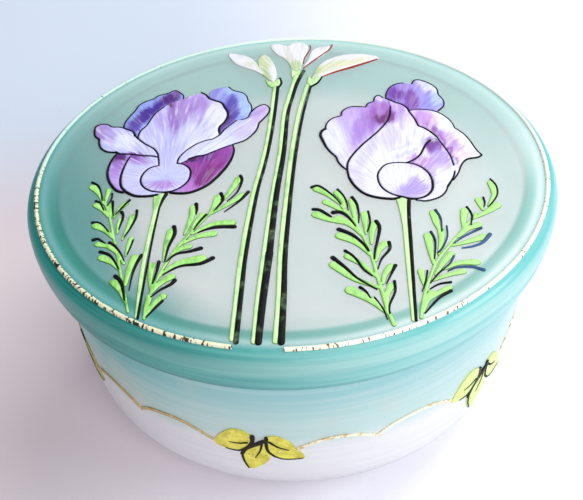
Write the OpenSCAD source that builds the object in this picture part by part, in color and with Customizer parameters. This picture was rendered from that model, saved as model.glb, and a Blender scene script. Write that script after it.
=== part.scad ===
// Round satin-glass trinket box with a lift-off lid and raised painted irises.
// Millimetres, +Z up. The origin is the middle of the foot, on the surface it stands on.
// +X is to the right of the painting and +Y points up the flower stems.

/* [Lid] */
// Outside radius of the lid at its widest
lid_r = 70; // [60:0.5:80]
// Height of the lid's flat top above the table
lid_top = 66; // [50:0.5:80]
// Height of the skirt's lower edge above the table
lid_edge = 53; // [40:0.5:60]
// Radius of the rounded shoulder between top and side
shoulder_r = 3.5; // [2:0.25:6]
// How far the side leans in from its widest to the lower edge
side_lean = 2.2; // [0:0.1:4]
// Rounding on the outside of the lower edge
edge_round = 1.2; // [0.5:0.1:2]
// Thickness of the lid's top
top_wall = 3; // [2:0.25:5]
// Radius inside the skirt
skirt_bore = 64; // [60:0.25:66]

/* [Bowl] */
// Radius of the flat underside, where the big round corner starts
corner_x = 41.8; // [30:0.1:50]
// Radius of the bowl's round lower corner
corner_r = 18.5; // [10:0.5:30]
// Outward lean of the wall, in degrees
wall_lean = 7; // [0:0.1:10]
// Height of the small ledge where the leaning wall ends and the neck starts
neck_z = 52; // [45:0.5:52.5]
// Radius of the upright neck that the skirt drops over
neck_r = 63.2; // [58:0.1:66]
// Wall thickness of the neck
neck_wall = 3.6; // [2:0.1:6]
// Floor thickness over the foot
floor_wall = 4; // [2:0.25:8]
// Radius of the shallow hollow under the foot
foot_hollow_r = 34; // [20:0.5:40]
// Depth of that hollow
foot_hollow_h = 1.2; // [0.5:0.1:3]

/* [Enamel] */
// Height of the coloured enamel above the glass
enamel_h = 0.35; // [0.2:0.05:1]
// Height of the black brush lines above the glass
line_h = 0.45; // [0.2:0.05:1]
// Radius of the raised line round the lid
rim_line_r = 67.2; // [60:0.1:69]
// Radius of that line's own round section
rim_line_section = 0.6; // [0.3:0.05:1.5]
// Leaf groups round the bowl
leaf_groups = 6; // [3:1:8]
// Direction of the front leaf group, in degrees
front_group = 258; // [180:1:360]

/* [Hidden] */
$fn = 96;

// Lid section
shoulder_x = lid_r - shoulder_r;
shoulder_z = lid_top - shoulder_r;
side_h = shoulder_z - lid_edge;
side_arc = (side_h * side_h + side_lean * side_lean) / (2 * side_lean);
side_x = lid_r - side_arc;
edge_z = lid_edge + edge_round;
edge_x = side_x + sqrt(pow(side_arc - edge_round, 2) - pow(shoulder_z - edge_z, 2));
edge_way = [edge_x - side_x, edge_z - shoulder_z] / (side_arc - edge_round);
seat_z = lid_top - top_wall;

// Bowl section
corner = [corner_x, corner_r];
wall_out = [cos(wall_lean), -sin(wall_lean)];
wall_up = [sin(wall_lean), cos(wall_lean)];
wall_len = (neck_z - corner_r + corner_r * sin(wall_lean)) / cos(wall_lean);
bore_r = neck_r - neck_wall;
inner_r = corner_r - floor_wall;
rim_round = 1;
neck_root = 1;

// The raised line on the lid stops where the three centre stems cross it
line_gap_start = 256.4;
line_gap_end = 266.6;
line_spans = 3;

// Scalloped line of one sector of the bowl: degrees past the leaf group, height
scallops = [[10, 26], [14, 28.2], [18.5, 29.3], [24, 28.6], [28.8, 26.2], [32, 28.6], [37, 30],
    [42, 30], [46, 28.4], [49.2, 26.4]];
scallop_line_w = 0.9;
sector = 360 / leaf_groups;
wall_r = 62;
wall_reach = 7;
skin_low = 10;
skin_high = 36;

// One leaf group on the bowl, across and up in mm, from the middle of the group
base_leaf_shapes = [
    [[-11, 25.5], [-8.6, 30], [-5.5, 32.4], [-2.5, 32], [-0.8, 29.6], [-2.2, 26], [-4.5, 23.8],
        [-8.4, 24]],
    [[0.4, 27.5], [1.8, 28.4], [3.2, 24.5], [3, 21], [0.6, 18], [-2.6, 16.2], [-4, 20], [-3.6, 24]],
    [[2.8, 30], [5.2, 31], [8.4, 28.8], [10, 25.6], [11.8, 21.8], [7, 21.4], [3.8, 22.8], [2.6, 26]]];
base_vein_paths = [
    [[[-0.7, 30.2], [-0.8, 28.2], [-2.4, 25.6], [-4.8, 23.7], [-8, 23.9]], 1.3, 0.3],
    [[[-2.2, 27.6], [-4.5, 26.9], [-6.8, 26.9]], 0.7, 0.25],
    [[[1.9, 28.5], [0, 27], [-2.6, 25], [-3.9, 22.5]], 1.1, 1],
    [[[-3.9, 22.6], [-3.6, 19.5], [-2.7, 16.6]], 0.7, 0.4],
    [[[1.6, 27.6], [0.9, 24.5], [-0.6, 21.4]], 0.7, 0.25],
    [[[2.9, 30], [2.7, 27.5], [3, 24.6], [4.6, 22.5]], 1.1, 0.6],
    [[[4.6, 22.5], [7, 21.5], [11.4, 21.8]], 0.5, 0.3],
    [[[3.6, 28.6], [5.6, 26.6], [8.2, 25.4]], 0.8, 0.25]];

// Three long stems up the middle of the lid: black lines, then the green beside them
centre_line_paths = [
    [[[-14.9, -64], [-13.4, -46], [-12.1, -32], [-9.2, -10], [-7.3, 0]], 1.3, 0.7],
    [[[-7.3, 0], [-5.4, 11], [-3.6, 25], [-2, 41]], 0.8, 0.9],
    [[[-9.8, -64.6], [-8.4, -50], [-6.4, -33]], 1.6, 1.9],
    [[[-6.4, -33], [-4, -10], [-1.5, 8], [0.2, 26], [1.5, 33]], 1.7, 0.8],
    [[[1.5, 33], [3.5, 42], [5.8, 48.8]], 0.9, 1.1],
    [[[-4.6, -65], [-3.5, -50], [-2.5, -33], [-0.3, -10]], 1.7, 1],
    [[[-0.3, -10], [1.8, 8], [4.5, 26], [7.4, 40]], 1, 0.7],
    [[[7.4, 40], [9.6, 42], [11, 45]], 0.7, 0.4],
    [[[-1.9, 40.6], [-0.9, 43], [-1.3, 45.6]], 0.5, 0.6]];
centre_green_paths = [
    [[[-15.8, -63], [-14.5, -46], [-13.2, -32], [-10.2, -10], [-6.5, 10], [-4.6, 25],
        [-3, 41]], 1.4, 1.1],
    [[[-10.9, -64.3], [-9.7, -50], [-7.8, -33], [-5.1, -10], [-2.6, 8], [-0.9, 26], [0.4, 33]], 1.3, 1.2],
    [[[0.4, 33], [2.6, 42.5], [3.5, 46]], 1.2, 1.6],
    [[[-5.9, -64.6], [-4.7, -50], [-3.7, -33], [-1.4, -10], [0.6, 8], [3.2, 26], [6.4, 41]], 1.5, 1.2]];

// Three buds at the top of the stems
bud_shapes = [
    [[-16.4, 60.5], [-13, 60], [-9.6, 57.6], [-7.8, 54], [-6, 49], [-4.2, 44.4], [-6.2, 47.5],
        [-8.6, 50.4], [-12, 52.8], [-14.6, 55.4]],
    [[-7.6, 54], [-7, 57.6], [-5.4, 59], [-3.8, 56.4], [-2.5, 52], [-2.2, 47], [-3.2, 43.6], [-4.4, 45],
        [-6, 49]],
    [[-3.6, 63], [-2.2, 64.8], [0, 64], [1.6, 63.2], [3, 64.6], [5, 65], [7, 63.6], [7.8, 61],
        [6.8, 57.4],
        [5.6, 53], [4.8, 49.4], [2.6, 49.4], [1.6, 53], [0.4, 56], [-1.6, 58.4]],
    [[5.8, 51], [7.4, 55], [8.5, 59], [10, 61], [12.6, 61.6], [14.8, 61.4], [12.6, 57.4], [9.8, 54.8],
        [7.2, 52]],
    [[8, 43.8], [8.6, 47], [10.2, 51], [13, 54], [17, 56], [21.6, 56.4], [26, 55.2], [28.4, 53.4],
        [26, 51.8], [21, 49.6], [16, 47.4], [12, 45.6]]];
bud_cup_shapes = [
    [[-5.4, 45.4], [-5.2, 42.8], [-4, 40.9], [-2.2, 40.6], [-1.3, 43], [-1.5, 45.4], [-3, 43.8],
        [-4, 43.8]],
    [[2.4, 50], [2, 47.4], [2.6, 44], [4, 44], [5, 47], [4.6, 50], [3.6, 48.6]],
    [[6.4, 41], [6.6, 44], [7.2, 46], [8, 44], [9.4, 45.2], [10.8, 44.6], [9.6, 42.2], [7.6, 40.6]]];
bud_red_paths = [
    [[[15, 62.4], [14, 59.8], [12, 57.4], [9.4, 54.6], [7, 51.8], [5.8, 50.2]], 0.5, 0.35],
    [[[8.4, 62.8], [8.4, 61], [7.4, 58.4], [6.4, 56], [5.9, 53]], 0.35, 0.3],
    [[[27.8, 52.8], [24, 51], [20, 49.2]], 0.35, 0.9],
    [[[20, 49.2], [15, 47.2], [11.2, 45.2]], 0.8, 0.3]];

// Left iris: closed petal outlines, pale ones in front
left_standard = [[-41.5, 20], [-41, 22.6], [-39.4, 25.2], [-38.2, 28.5], [-36.9, 31.4], [-34.7, 34.2],
    [-32.4, 36.2], [-29.4, 37.4], [-28, 38.8], [-26, 39.4], [-24.2, 40.4], [-22.8, 39], [-21.8, 37],
    [-20.3, 35.8], [-18.3, 34.3], [-17.5, 32], [-16.9, 30], [-16.7, 27.5], [-17.7, 24.6], [-19, 22.2],
    [-19, 20.2], [-19.4, 18], [-20.8, 16.8], [-23, 16], [-25.5, 14.5], [-28, 12], [-29.8, 9], [-30.2, 6],
    [-31, 3], [-34.8, 3], [-35.2, 6], [-35.4, 9], [-35.8, 11.5], [-37, 14], [-39.4, 16.4]];
left_pouch = [[-35.2, 6], [-37.6, 5], [-39.3, 2.5], [-39.8, -0.5], [-38.9, -3.2], [-36.8, -5.2], [-34, -6],
    [-31.3, -5.8], [-29, -4.3], [-27.2, -1.8], [-26.6, 1], [-26.8, 3.4], [-28.2, 5.4], [-30.2, 6.2],
    [-32.6, 5]];
left_wing = [[-35.4, 10], [-35.8, 11.5], [-37, 14], [-39.4, 16.4], [-41.8, 19.6], [-43.2, 22.8],
    [-45.4, 24.4], [-47, 25.2], [-49, 25.5], [-50.3, 26.8], [-52, 27.1], [-53.6, 26.2], [-53.8, 24],
    [-53.4, 21.6], [-52.2, 20], [-52, 17.6], [-51.2, 15.4], [-49.4, 13.8], [-47, 13.2], [-46, 12.3],
    [-43, 11.8], [-40, 11], [-37, 10.2]];
right_wing = [[-30.2, 6.2], [-29.8, 9], [-28, 12], [-25.5, 14.6], [-23, 16.1], [-20.7, 16.9], [-19.2, 18.2],
    [-17.5, 21], [-15.6, 23.4], [-14.2, 25], [-12.7, 25.4], [-11, 26.2], [-10, 28.6], [-8.6, 30.8],
    [-6.4, 32.1], [-5, 31], [-4.8, 29], [-5.8, 26.4], [-7.8, 23.4], [-8.5, 20.3], [-9.8, 17.8],
        [-12, 15.3],
    [-15, 13.8], [-17, 12.8], [-20, 11.1], [-23, 9.4], [-26, 8.6], [-28.4, 7.2]];
left_inner_cup = [[-43.2, 11.4], [-44.4, 6.5], [-45.1, 1.5], [-44.8, -2.5], [-43.3, -5], [-41, -6.7],
    [-38, -7.2], [-35, -6.8], [-33, -5], [-33, 4], [-35, 10.4], [-39, 11]];
left_back_petal = [[-42.4, 20], [-43, 22.6], [-45.4, 24.6], [-45.6, 27], [-44.5, 30], [-43, 33],
    [-42, 35.7], [-40, 37.6], [-38, 38.5], [-36.6, 40], [-34, 41], [-31.9, 42.3], [-30.3, 41],
    [-29.3, 39.3], [-29.4, 37], [-32, 34], [-35.5, 31], [-37.5, 27], [-40.4, 22]];
right_back_petal_left = [[-22, 38.6], [-21.6, 40.6], [-19.6, 42], [-16.3, 42.4], [-14.7, 40.3], [-12.3, 39],
    [-11.1, 37], [-10.7, 34.5], [-9.9, 32.4], [-9.8, 30], [-10.5, 27.5], [-11.2, 26], [-13, 25.2],
    [-15.5, 23.5], [-17.5, 21], [-18.9, 18.3], [-20, 22], [-18.5, 27], [-19.5, 32], [-22, 35.6]];
left_outer_cup = [[-46.8, 12.4], [-48, 9.6], [-48.8, 5.6], [-48.6, 2], [-47.5, -1.3], [-46, -3.9],
    [-44.2, -4.9], [-42.5, -2], [-42.5, 4], [-42, 11.6]];
left_dark_cup = [[-29.8, 6], [-28.2, 7.4], [-26, 8.6], [-23, 9.4], [-20, 11.1], [-17, 12.8], [-15.3, 13.5],
    [-14.9, 11], [-15.5, 7.5], [-17, 3.5], [-19.3, -0.5], [-22, -4], [-25.5, -6.3], [-28.5, -6.9],
    [-31.4, -6.2], [-32.5, -4], [-32, 2]];
left_line_paths = [
    [[[-35.5, 10.2], [-35.8, 11.6], [-37, 14], [-39.4, 16.4], [-41.8, 19.6], [-43.2, 22.8],
        [-45.5, 24.5]], 0.4, 0.45],
    [[[-45.5, 24.5], [-47, 25.3], [-49, 25.6], [-50.3, 26.9], [-52, 27.2], [-53.6, 26.3], [-53.9, 24],
        [-53.5, 21.6], [-52.3, 20]], 0.4, 0.5],
    [[[-52.3, 20], [-52.1, 17.6], [-51.3, 15.4], [-49.5, 13.7], [-47, 13.3]], 0.5, 0.5],
    [[[-47.2, 13.4], [-46, 12.4], [-43, 11.9], [-40, 11], [-37, 10.4], [-35.5, 9.8]], 0.6, 0.5],
    [[[-35.5, 9.8], [-35.3, 8], [-35.2, 6]], 0.4, 0.3],
    [[[-47, 12.4], [-48.2, 9.5], [-48.9, 5.5], [-48.7, 2], [-47.6, -1.3], [-46, -4],
        [-44.2, -5]], 0.5, 0.8],
    [[[-43.3, 10.8], [-44.5, 6.5], [-45.2, 1.5], [-44.8, -2.5], [-43.3, -5]], 0.35, 0.8],
    [[[-43.3, -5], [-41, -6.8], [-38, -7.3], [-35.2, -7]], 0.8, 0.8],
    [[[-35.3, 5.9], [-37.6, 5], [-39.3, 2.5], [-39.8, -0.5], [-38.9, -3.2], [-36.8, -5.2],
        [-34, -6]], 0.4, 0.5],
    [[[-34, -6], [-31.3, -5.8], [-29, -4.3], [-27.2, -1.8], [-26.6, 1], [-26.8, 3.4], [-28.2, 5.5],
        [-30, 6.3]], 0.5, 0.4],
    [[[-15.3, 13.6], [-14.9, 11], [-15.5, 7.5], [-17, 3.5], [-19.3, -0.5]], 0.4, 0.8],
    [[[-19.3, -0.5], [-22, -4], [-25.5, -6.4], [-28.5, -7], [-31.6, -6.4]], 0.8, 0.8],
    [[[-15.4, 13.5], [-17, 12.8], [-20, 11.1]], 0.3, 0.35],
    [[[-20, 11.1], [-23, 9.4], [-25, 9.1], [-27.2, 8]], 0.4, 0.7],
    [[[-10, 28.8], [-8.6, 30.9], [-6.4, 32.2], [-5, 31], [-4.8, 29], [-5.8, 26.4],
        [-7.8, 23.4]], 0.4, 0.4],
    [[[-7.8, 23.4], [-8.5, 20.3], [-9.8, 17.8], [-12, 15.2], [-15, 13.8]], 0.45, 0.3],
    [[[-30.3, 6.4], [-29.8, 9], [-28, 12], [-25.5, 14.6], [-23, 16.1], [-20.7, 16.8],
        [-19.2, 18.2]], 0.35, 0.35],
    [[[-24.2, 40.4], [-22.8, 39], [-21.8, 37], [-20.3, 35.8], [-18.3, 34.3], [-17.5, 32]], 0.6, 0.6],
    [[[-17.5, 32], [-16.8, 30], [-16.6, 27.5], [-17.6, 24.6], [-19, 22.2], [-19, 19.4]], 0.6, 0.5],
    [[[-41.5, 20], [-41, 22.6], [-39.4, 25.2], [-38.2, 28.5], [-36.9, 31.4], [-34.7, 34.1]], 0.4, 0.3],
    [[[-16.3, 42.5], [-14.7, 40.3], [-12.3, 39], [-11.1, 37], [-10.7, 34.5], [-9.9, 32.4], [-9.8, 30],
        [-10.5, 27.5], [-11.2, 26], [-12.8, 25.3]], 0.35, 0.35],
    [[[-18.9, 18.3], [-17.5, 21], [-15.6, 23.4], [-14.2, 25]], 0.35, 0.3],
    [[[-42.5, 20.4], [-43, 22.6], [-45.5, 24.5], [-45.6, 27], [-44.5, 30], [-43, 33], [-42, 35.7],
        [-40, 37.6]], 0.4, 0.35],
    [[[-40, 37.6], [-38, 38.5], [-36.6, 40], [-34, 41], [-31.9, 42.3], [-30.3, 41], [-29.3, 39.3],
        [-29.4, 37.6]], 0.35, 0.35]];
left_stem_line_paths = [
    [[[-32.7, -6.8], [-33.6, -9.4], [-34.3, -12.5]], 1, 0.4],
    [[[-34.3, -12.5], [-35.3, -22], [-36.4, -35], [-37.3, -47], [-37.8, -54]], 0.45, 0.6]];
left_stem_paths = [
    [[[-34.6, -7.4], [-35, -10], [-35.2, -13.5]], 3.1, 1.3],
    [[[-35.2, -13.5], [-36.3, -23], [-37.5, -36], [-38, -50], [-38.1, -53.6]], 1.3, 1]];

// Right iris
front_cup = [[29, 30.6], [30.6, 29.4], [32.5, 28], [33.8, 26], [34.1, 24.3], [35.2, 20.8], [35.9, 17],
    [37.5, 15.7], [39.3, 13.2], [40.2, 11.4], [38.4, 10], [37.2, 8.7], [36, 6.2], [34.8, 3.6], [33, 1.6],
    [30.8, 0.2], [29, -3], [28, -8], [27.5, -14], [25.5, -14.6], [21.5, -13.6], [18.5, -11.6], [16.3, -8],
    [15.2, -4.5], [15, -1], [15.5, 2.5], [17.4, 6.2], [20, 10], [24.4, 15.3], [27.2, 19.5], [28.6, 23],
    [29, 27]];
side_cup = [[14.8, -1], [13.8, 0.5], [12.8, 2.8], [12.4, 5], [11, 7.5], [10, 10], [9.3, 13], [8.8, 15.5],
    [9.3, 17.4], [10.3, 18.4], [10.8, 20.8], [12, 22.7], [13.5, 23.7], [15, 24.3], [15.4, 26.2],
    [17, 27.9], [19, 28.4], [22, 27.8], [23, 29.5], [24.5, 30.5], [25.2, 32.4], [26.3, 33.2],
        [27.6, 31.8],
    [29.4, 30.4], [31, 27], [30, 21], [26, 15], [20, 8], [16.5, 2]];
right_pouch = [[25.6, 0.3], [24, -1.3], [22.8, -4], [22.8, -7.5], [23.8, -10.5], [25.8, -12.8], [28, -14],
    [30, -15], [32.5, -15.2], [34.8, -14], [36.3, -11.5], [36.7, -8], [36.2, -5], [34.8, -2.3],
        [32.7, -0.3],
    [30.6, 0.4], [28, 0.7]];
far_cup = [[30.8, 0.3], [33, 1.6], [34.8, 3.6], [36, 6.2], [37.3, 8.7], [39.2, 9.6], [40.8, 9], [42, 5.5],
    [42.8, 2], [43.1, -2], [43, -4.6], [42.3, -7.2], [40.4, -10.8], [39.4, -13.3], [37.3, -15.4],
    [34, -16.4], [31.4, -15.8], [31, -10], [31, -4]];
outer_fall = [[34.2, 24.4], [36.4, 25], [38.6, 24.8], [40.4, 24], [43, 22], [45, 18.5], [45.7, 15],
    [47.7, 12], [49, 8.5], [50, 4.5], [51.1, 1.8], [49.8, 0.9], [47, 0.4], [45.3, -1.7], [43.8, -5.5],
    [42.2, -8.2], [41.6, -5], [42, 2], [40.4, 8.6], [39.6, 11], [37, 14.6], [35, 17], [34.4, 20.8]];
back_petal = [[28.3, 31], [28.7, 34.5], [30, 37.2], [32, 38.7], [34, 39], [36.4, 38.2], [37.1, 39.8],
    [38.6, 40.1], [41.4, 38], [43.2, 35], [43.3, 32], [44.3, 29], [44, 26], [42.2, 23.8], [40, 23],
    [35, 23], [32, 26], [29, 29]];
right_line_paths = [
    [[[15, -1.2], [13.8, 0.5], [12.8, 2.8], [12.4, 5], [11, 7.5], [10, 10]], 0.4, 0.5],
    [[[10, 10], [9.3, 13], [8.8, 15.5], [9.3, 17.4], [10.3, 18.3]], 0.6, 0.9],
    [[[10.3, 18.4], [10.8, 20.8], [12, 22.7], [13.5, 23.7], [15, 24.3], [15.4, 26.2], [17, 27.9],
        [19, 28.4], [22.2, 27.8]], 0.4, 0.4],
    [[[22.2, 27.8], [23, 29.5], [24.6, 30.5], [25.2, 32.5], [26.4, 33.3], [27.6, 32]], 0.4, 0.4],
    [[[28.5, 31.4], [30.6, 29.4], [32.5, 28], [33.8, 26], [34.1, 24.3], [35.2, 20.8],
        [35.9, 17]], 0.45, 0.4],
    [[[35.9, 17], [37.5, 15.7], [39.3, 13.2], [40.2, 11.4]], 0.45, 0.5],
    [[[29.2, 27.5], [28.6, 23], [27.2, 19.5], [24.4, 15.3], [20, 10]], 0.3, 0.5],
    [[[20, 10], [17.4, 6.2], [15.5, 2.5], [15, -1], [15.2, -4.5]], 0.5, 0.5],
    [[[15.2, -4.5], [16.3, -8], [18.5, -11.6], [21.5, -13.6], [25.5, -14.7], [27.4, -14.4]], 0.6, 0.8],
    [[[28, -14], [25.8, -12.8], [23.8, -10.5], [22.8, -7.5], [22.8, -4], [24, -1.3], [25.6, 0.3],
        [28, 0.7], [30.6, 0.4]], 0.5, 0.35],
    [[[30.6, 0.4], [32.7, -0.3], [34.8, -2.3], [36.2, -5], [36.7, -8]], 0.4, 0.5],
    [[[36.7, -8], [36.3, -11.5], [34.8, -14], [32.5, -15.2], [30, -15], [28, -14]], 0.6, 0.6],
    [[[30.8, 0.3], [33, 1.6], [34.8, 3.6], [36, 6.2], [37.2, 8.7], [38.4, 10]], 0.5, 0.5],
    [[[40.3, 11.3], [40.9, 9], [42, 5.5], [42.8, 2], [43.1, -2]], 0.3, 0.35],
    [[[43, -4.6], [42.3, -7.2], [40.4, -10.8]], 0.35, 0.6],
    [[[40.4, -10.8], [39.4, -13.3], [37.3, -15.4], [34, -16.4], [31.6, -15.8]], 0.4, 0.35],
    [[[34.3, 24.7], [36.4, 25.1], [40.4, 24.1], [43, 22], [45, 18.5], [45.7, 15]], 0.3, 0.35],
    [[[45.7, 15], [47.7, 12], [49, 8.5], [50, 4.5], [51.1, 1.9]], 0.35, 0.45],
    [[[51.1, 1.9], [49.8, 0.9], [47, 0.4], [45.3, -1.7], [43.8, -5.5], [42.2, -8.2]], 0.5, 0.35],
    [[[28.3, 31.4], [28.7, 34.5], [30, 37.2], [32, 38.7], [34, 39]], 0.35, 0.35],
    [[[36.4, 38.2], [37.1, 39.8], [38.6, 40.1], [41.4, 38], [43.2, 35], [43.3, 32], [44.3, 29], [44, 26],
        [42.2, 23.8]], 0.4, 0.35]];
right_stem_line_paths = [
    [[[29.8, -15.8], [29.2, -21], [28.6, -30]], 1, 0.9],
    [[[28.6, -30], [27.6, -45], [26.6, -60.4]], 0.95, 0.7]];
right_stem_paths = [
    [[[27.9, -15.4], [27.9, -19], [27.7, -25]], 2.8, 1.4],
    [[[27.7, -25], [27.3, -33], [26.7, -45], [26, -60.2]], 1.4, 1.1]];

// Feathery leaf sprays: each brush stroke from its stalk out to its tip, then its two widths
left_spray_paths = [
    [[[-40.2, -51.6], [-42, -42], [-43.6, -33], [-45.3, -24], [-47, -15], [-48.6, -9]], 0.8, 0.8],
    [[[-49, -9.4], [-50.4, -5], [-52.3, -2]], 0.6, 2.2],
    [[[-48.6, -10], [-48.3, -6.5], [-47.9, -3.6]], 0.6, 1.6],
    [[[-47.4, -15], [-49, -12], [-50.8, -9.8]], 0.6, 2],
    [[[-46.4, -15], [-46.8, -12.5], [-47.2, -10]], 0.6, 1.5],
    [[[-45.9, -15.6], [-44.6, -12], [-43.2, -9.8]], 0.6, 1.8],
    [[[-45.4, -24], [-47.6, -20.6], [-50.2, -18.4]], 0.8, 2.4],
    [[[-44.6, -22], [-44.5, -19], [-44, -16.4]], 0.6, 1.6],
    [[[-43.2, -24.6], [-42, -20], [-41, -15.4]], 0.6, 1.9],
    [[[-44, -28.6], [-46.4, -27], [-49.2, -25.8]], 0.6, 2],
    [[[-42, -31], [-41.6, -27.5], [-40.9, -24.4]], 0.5, 1.6],
    [[[-42.8, -36.6], [-45, -33.4], [-47.7, -31.2]], 0.8, 2.4],
    [[[-42.2, -34], [-43.8, -30], [-46, -27]], 0.8, 2],
    [[[-41.4, -42], [-40.8, -36.5], [-39.6, -31.8]], 0.8, 2.4],
    [[[-41.2, -48], [-42.4, -44], [-44.4, -40.6]], 0.7, 2.2],
    [[[-36.3, -54.2], [-35.3, -46], [-33, -38], [-29.5, -29.5], [-26, -23.5], [-21, -15.5],
        [-17, -9]], 0.9, 0.9],
    [[[-19.2, -12.8], [-15.8, -7], [-13.8, -2.2]], 0.8, 2.1],
    [[[-21, -16.4], [-16.5, -12.6], [-12.7, -9.2]], 0.7, 2],
    [[[-21.6, -17], [-20.2, -13], [-19.2, -9.4]], 0.7, 2.1],
    [[[-27.6, -24], [-26.2, -18.5], [-25.4, -13]], 0.7, 2.2],
    [[[-26, -22.5], [-24.6, -19], [-23.1, -16.4]], 0.7, 1.8],
    [[[-25.6, -24], [-20.6, -20.6], [-15.6, -20.4]], 0.8, 2.4],
    [[[-28.8, -28], [-24.4, -25.2], [-20.4, -24.4]], 0.8, 2.4],
    [[[-30.6, -32], [-28.4, -29.6], [-26.4, -28.8]], 0.8, 2],
    [[[-32.4, -34], [-32, -28], [-31, -22.4]], 0.7, 2.3],
    [[[-33.2, -39.4], [-29, -35.2], [-23.2, -33.8]], 0.9, 3],
    [[[-35, -45], [-35.5, -40], [-35.2, -35]], 0.7, 1.9],
    [[[-35, -45.4], [-33, -42], [-30.4, -39.8]], 0.8, 2.3],
    [[[-36, -53.4], [-34.4, -49.6], [-32.2, -46.8]], 0.7, 2.1],
    [[[-36.2, -54], [-36, -50.4], [-35.4, -46.6]], 0.8, 1.8]];
left_shade_paths = [
    [[[-52.6, 0.2], [-50.9, -1.4], [-49.9, -4.6], [-49.4, -8]], 0.8, 0.25],
    [[[-47, -5.2], [-47, -7.4], [-48, -10.4]], 0.6, 0.25],
    [[[-51, -8], [-49.8, -9], [-48.7, -12.2]], 0.8, 0.25],
    [[[-46.6, -8.6], [-46.4, -11.5], [-46.1, -14.6]], 0.8, 0.25],
    [[[-42.2, -8.4], [-43.5, -10.6], [-45.5, -14.2]], 0.7, 0.25],
    [[[-51.3, -16.9], [-49.5, -17.2], [-48, -19], [-46.9, -21.2]], 0.8, 0.25],
    [[[-44, -13.3], [-43.5, -15.4], [-44.3, -20.4]], 1, 0.25],
    [[[-40.1, -13], [-40.2, -16], [-41.3, -20], [-42.7, -23.6]], 0.8, 0.25],
    [[[-50.5, -24], [-49.3, -23.7], [-47.4, -25.6]], 1.1, 0.4],
    [[[-46.3, -25.4], [-44.5, -27.5], [-43, -30.5], [-42.2, -33]], 0.9, 0.25],
    [[[-48.4, -28.8], [-46, -30.2], [-44.5, -33], [-43.4, -36]], 1, 0.25],
    [[[-40.4, -25], [-41, -28], [-41.6, -30.4]], 0.4, 0.25],
    [[[-38, -31], [-39.3, -35], [-40, -39], [-40.4, -44]], 0.9, 0.25],
    [[[-44, -38.4], [-42.5, -40.8], [-41.7, -44.6], [-41.3, -47.6]], 1.2, 0.25],
    [[[-13.3, -0.9], [-12.9, -3], [-14.3, -8], [-16.8, -11.4]], 1, 0.25],
    [[[-11.3, -8], [-13.5, -11.5], [-17.5, -15.8]], 1, 0.25],
    [[[-18.4, -8], [-18, -11], [-20, -14.8]], 1.1, 0.25],
    [[[-24.8, -11.8], [-24.6, -14], [-24.8, -16]], 1.1, 0.3],
    [[[-22.2, -16.6], [-24, -19.5], [-25.3, -22.4]], 0.7, 0.25],
    [[[-15, -22.1], [-19, -21.9], [-22, -22.5], [-24.2, -23.6]], 1.3, 0.25],
    [[[-30.3, -20.6], [-30, -23.5], [-31.4, -28.5], [-32.2, -34]], 1.2, 0.3],
    [[[-23.4, -29.8], [-26, -30.7], [-29.5, -31.5], [-31.8, -34.2]], 1.3, 0.25],
    [[[-20.4, -33.8], [-23.5, -35.7], [-28.4, -36.2], [-32.6, -39.1]], 1.3, 0.25],
    [[[-33.6, -34], [-34, -37.5], [-34.9, -42]], 1, 0.35],
    [[[-29.5, -41.2], [-30.5, -42.7], [-33, -44.5], [-35, -46.8]], 1.2, 0.3],
    [[[-32.2, -48.4], [-34, -51], [-35.9, -53.8]], 0.7, 0.25]];
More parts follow.
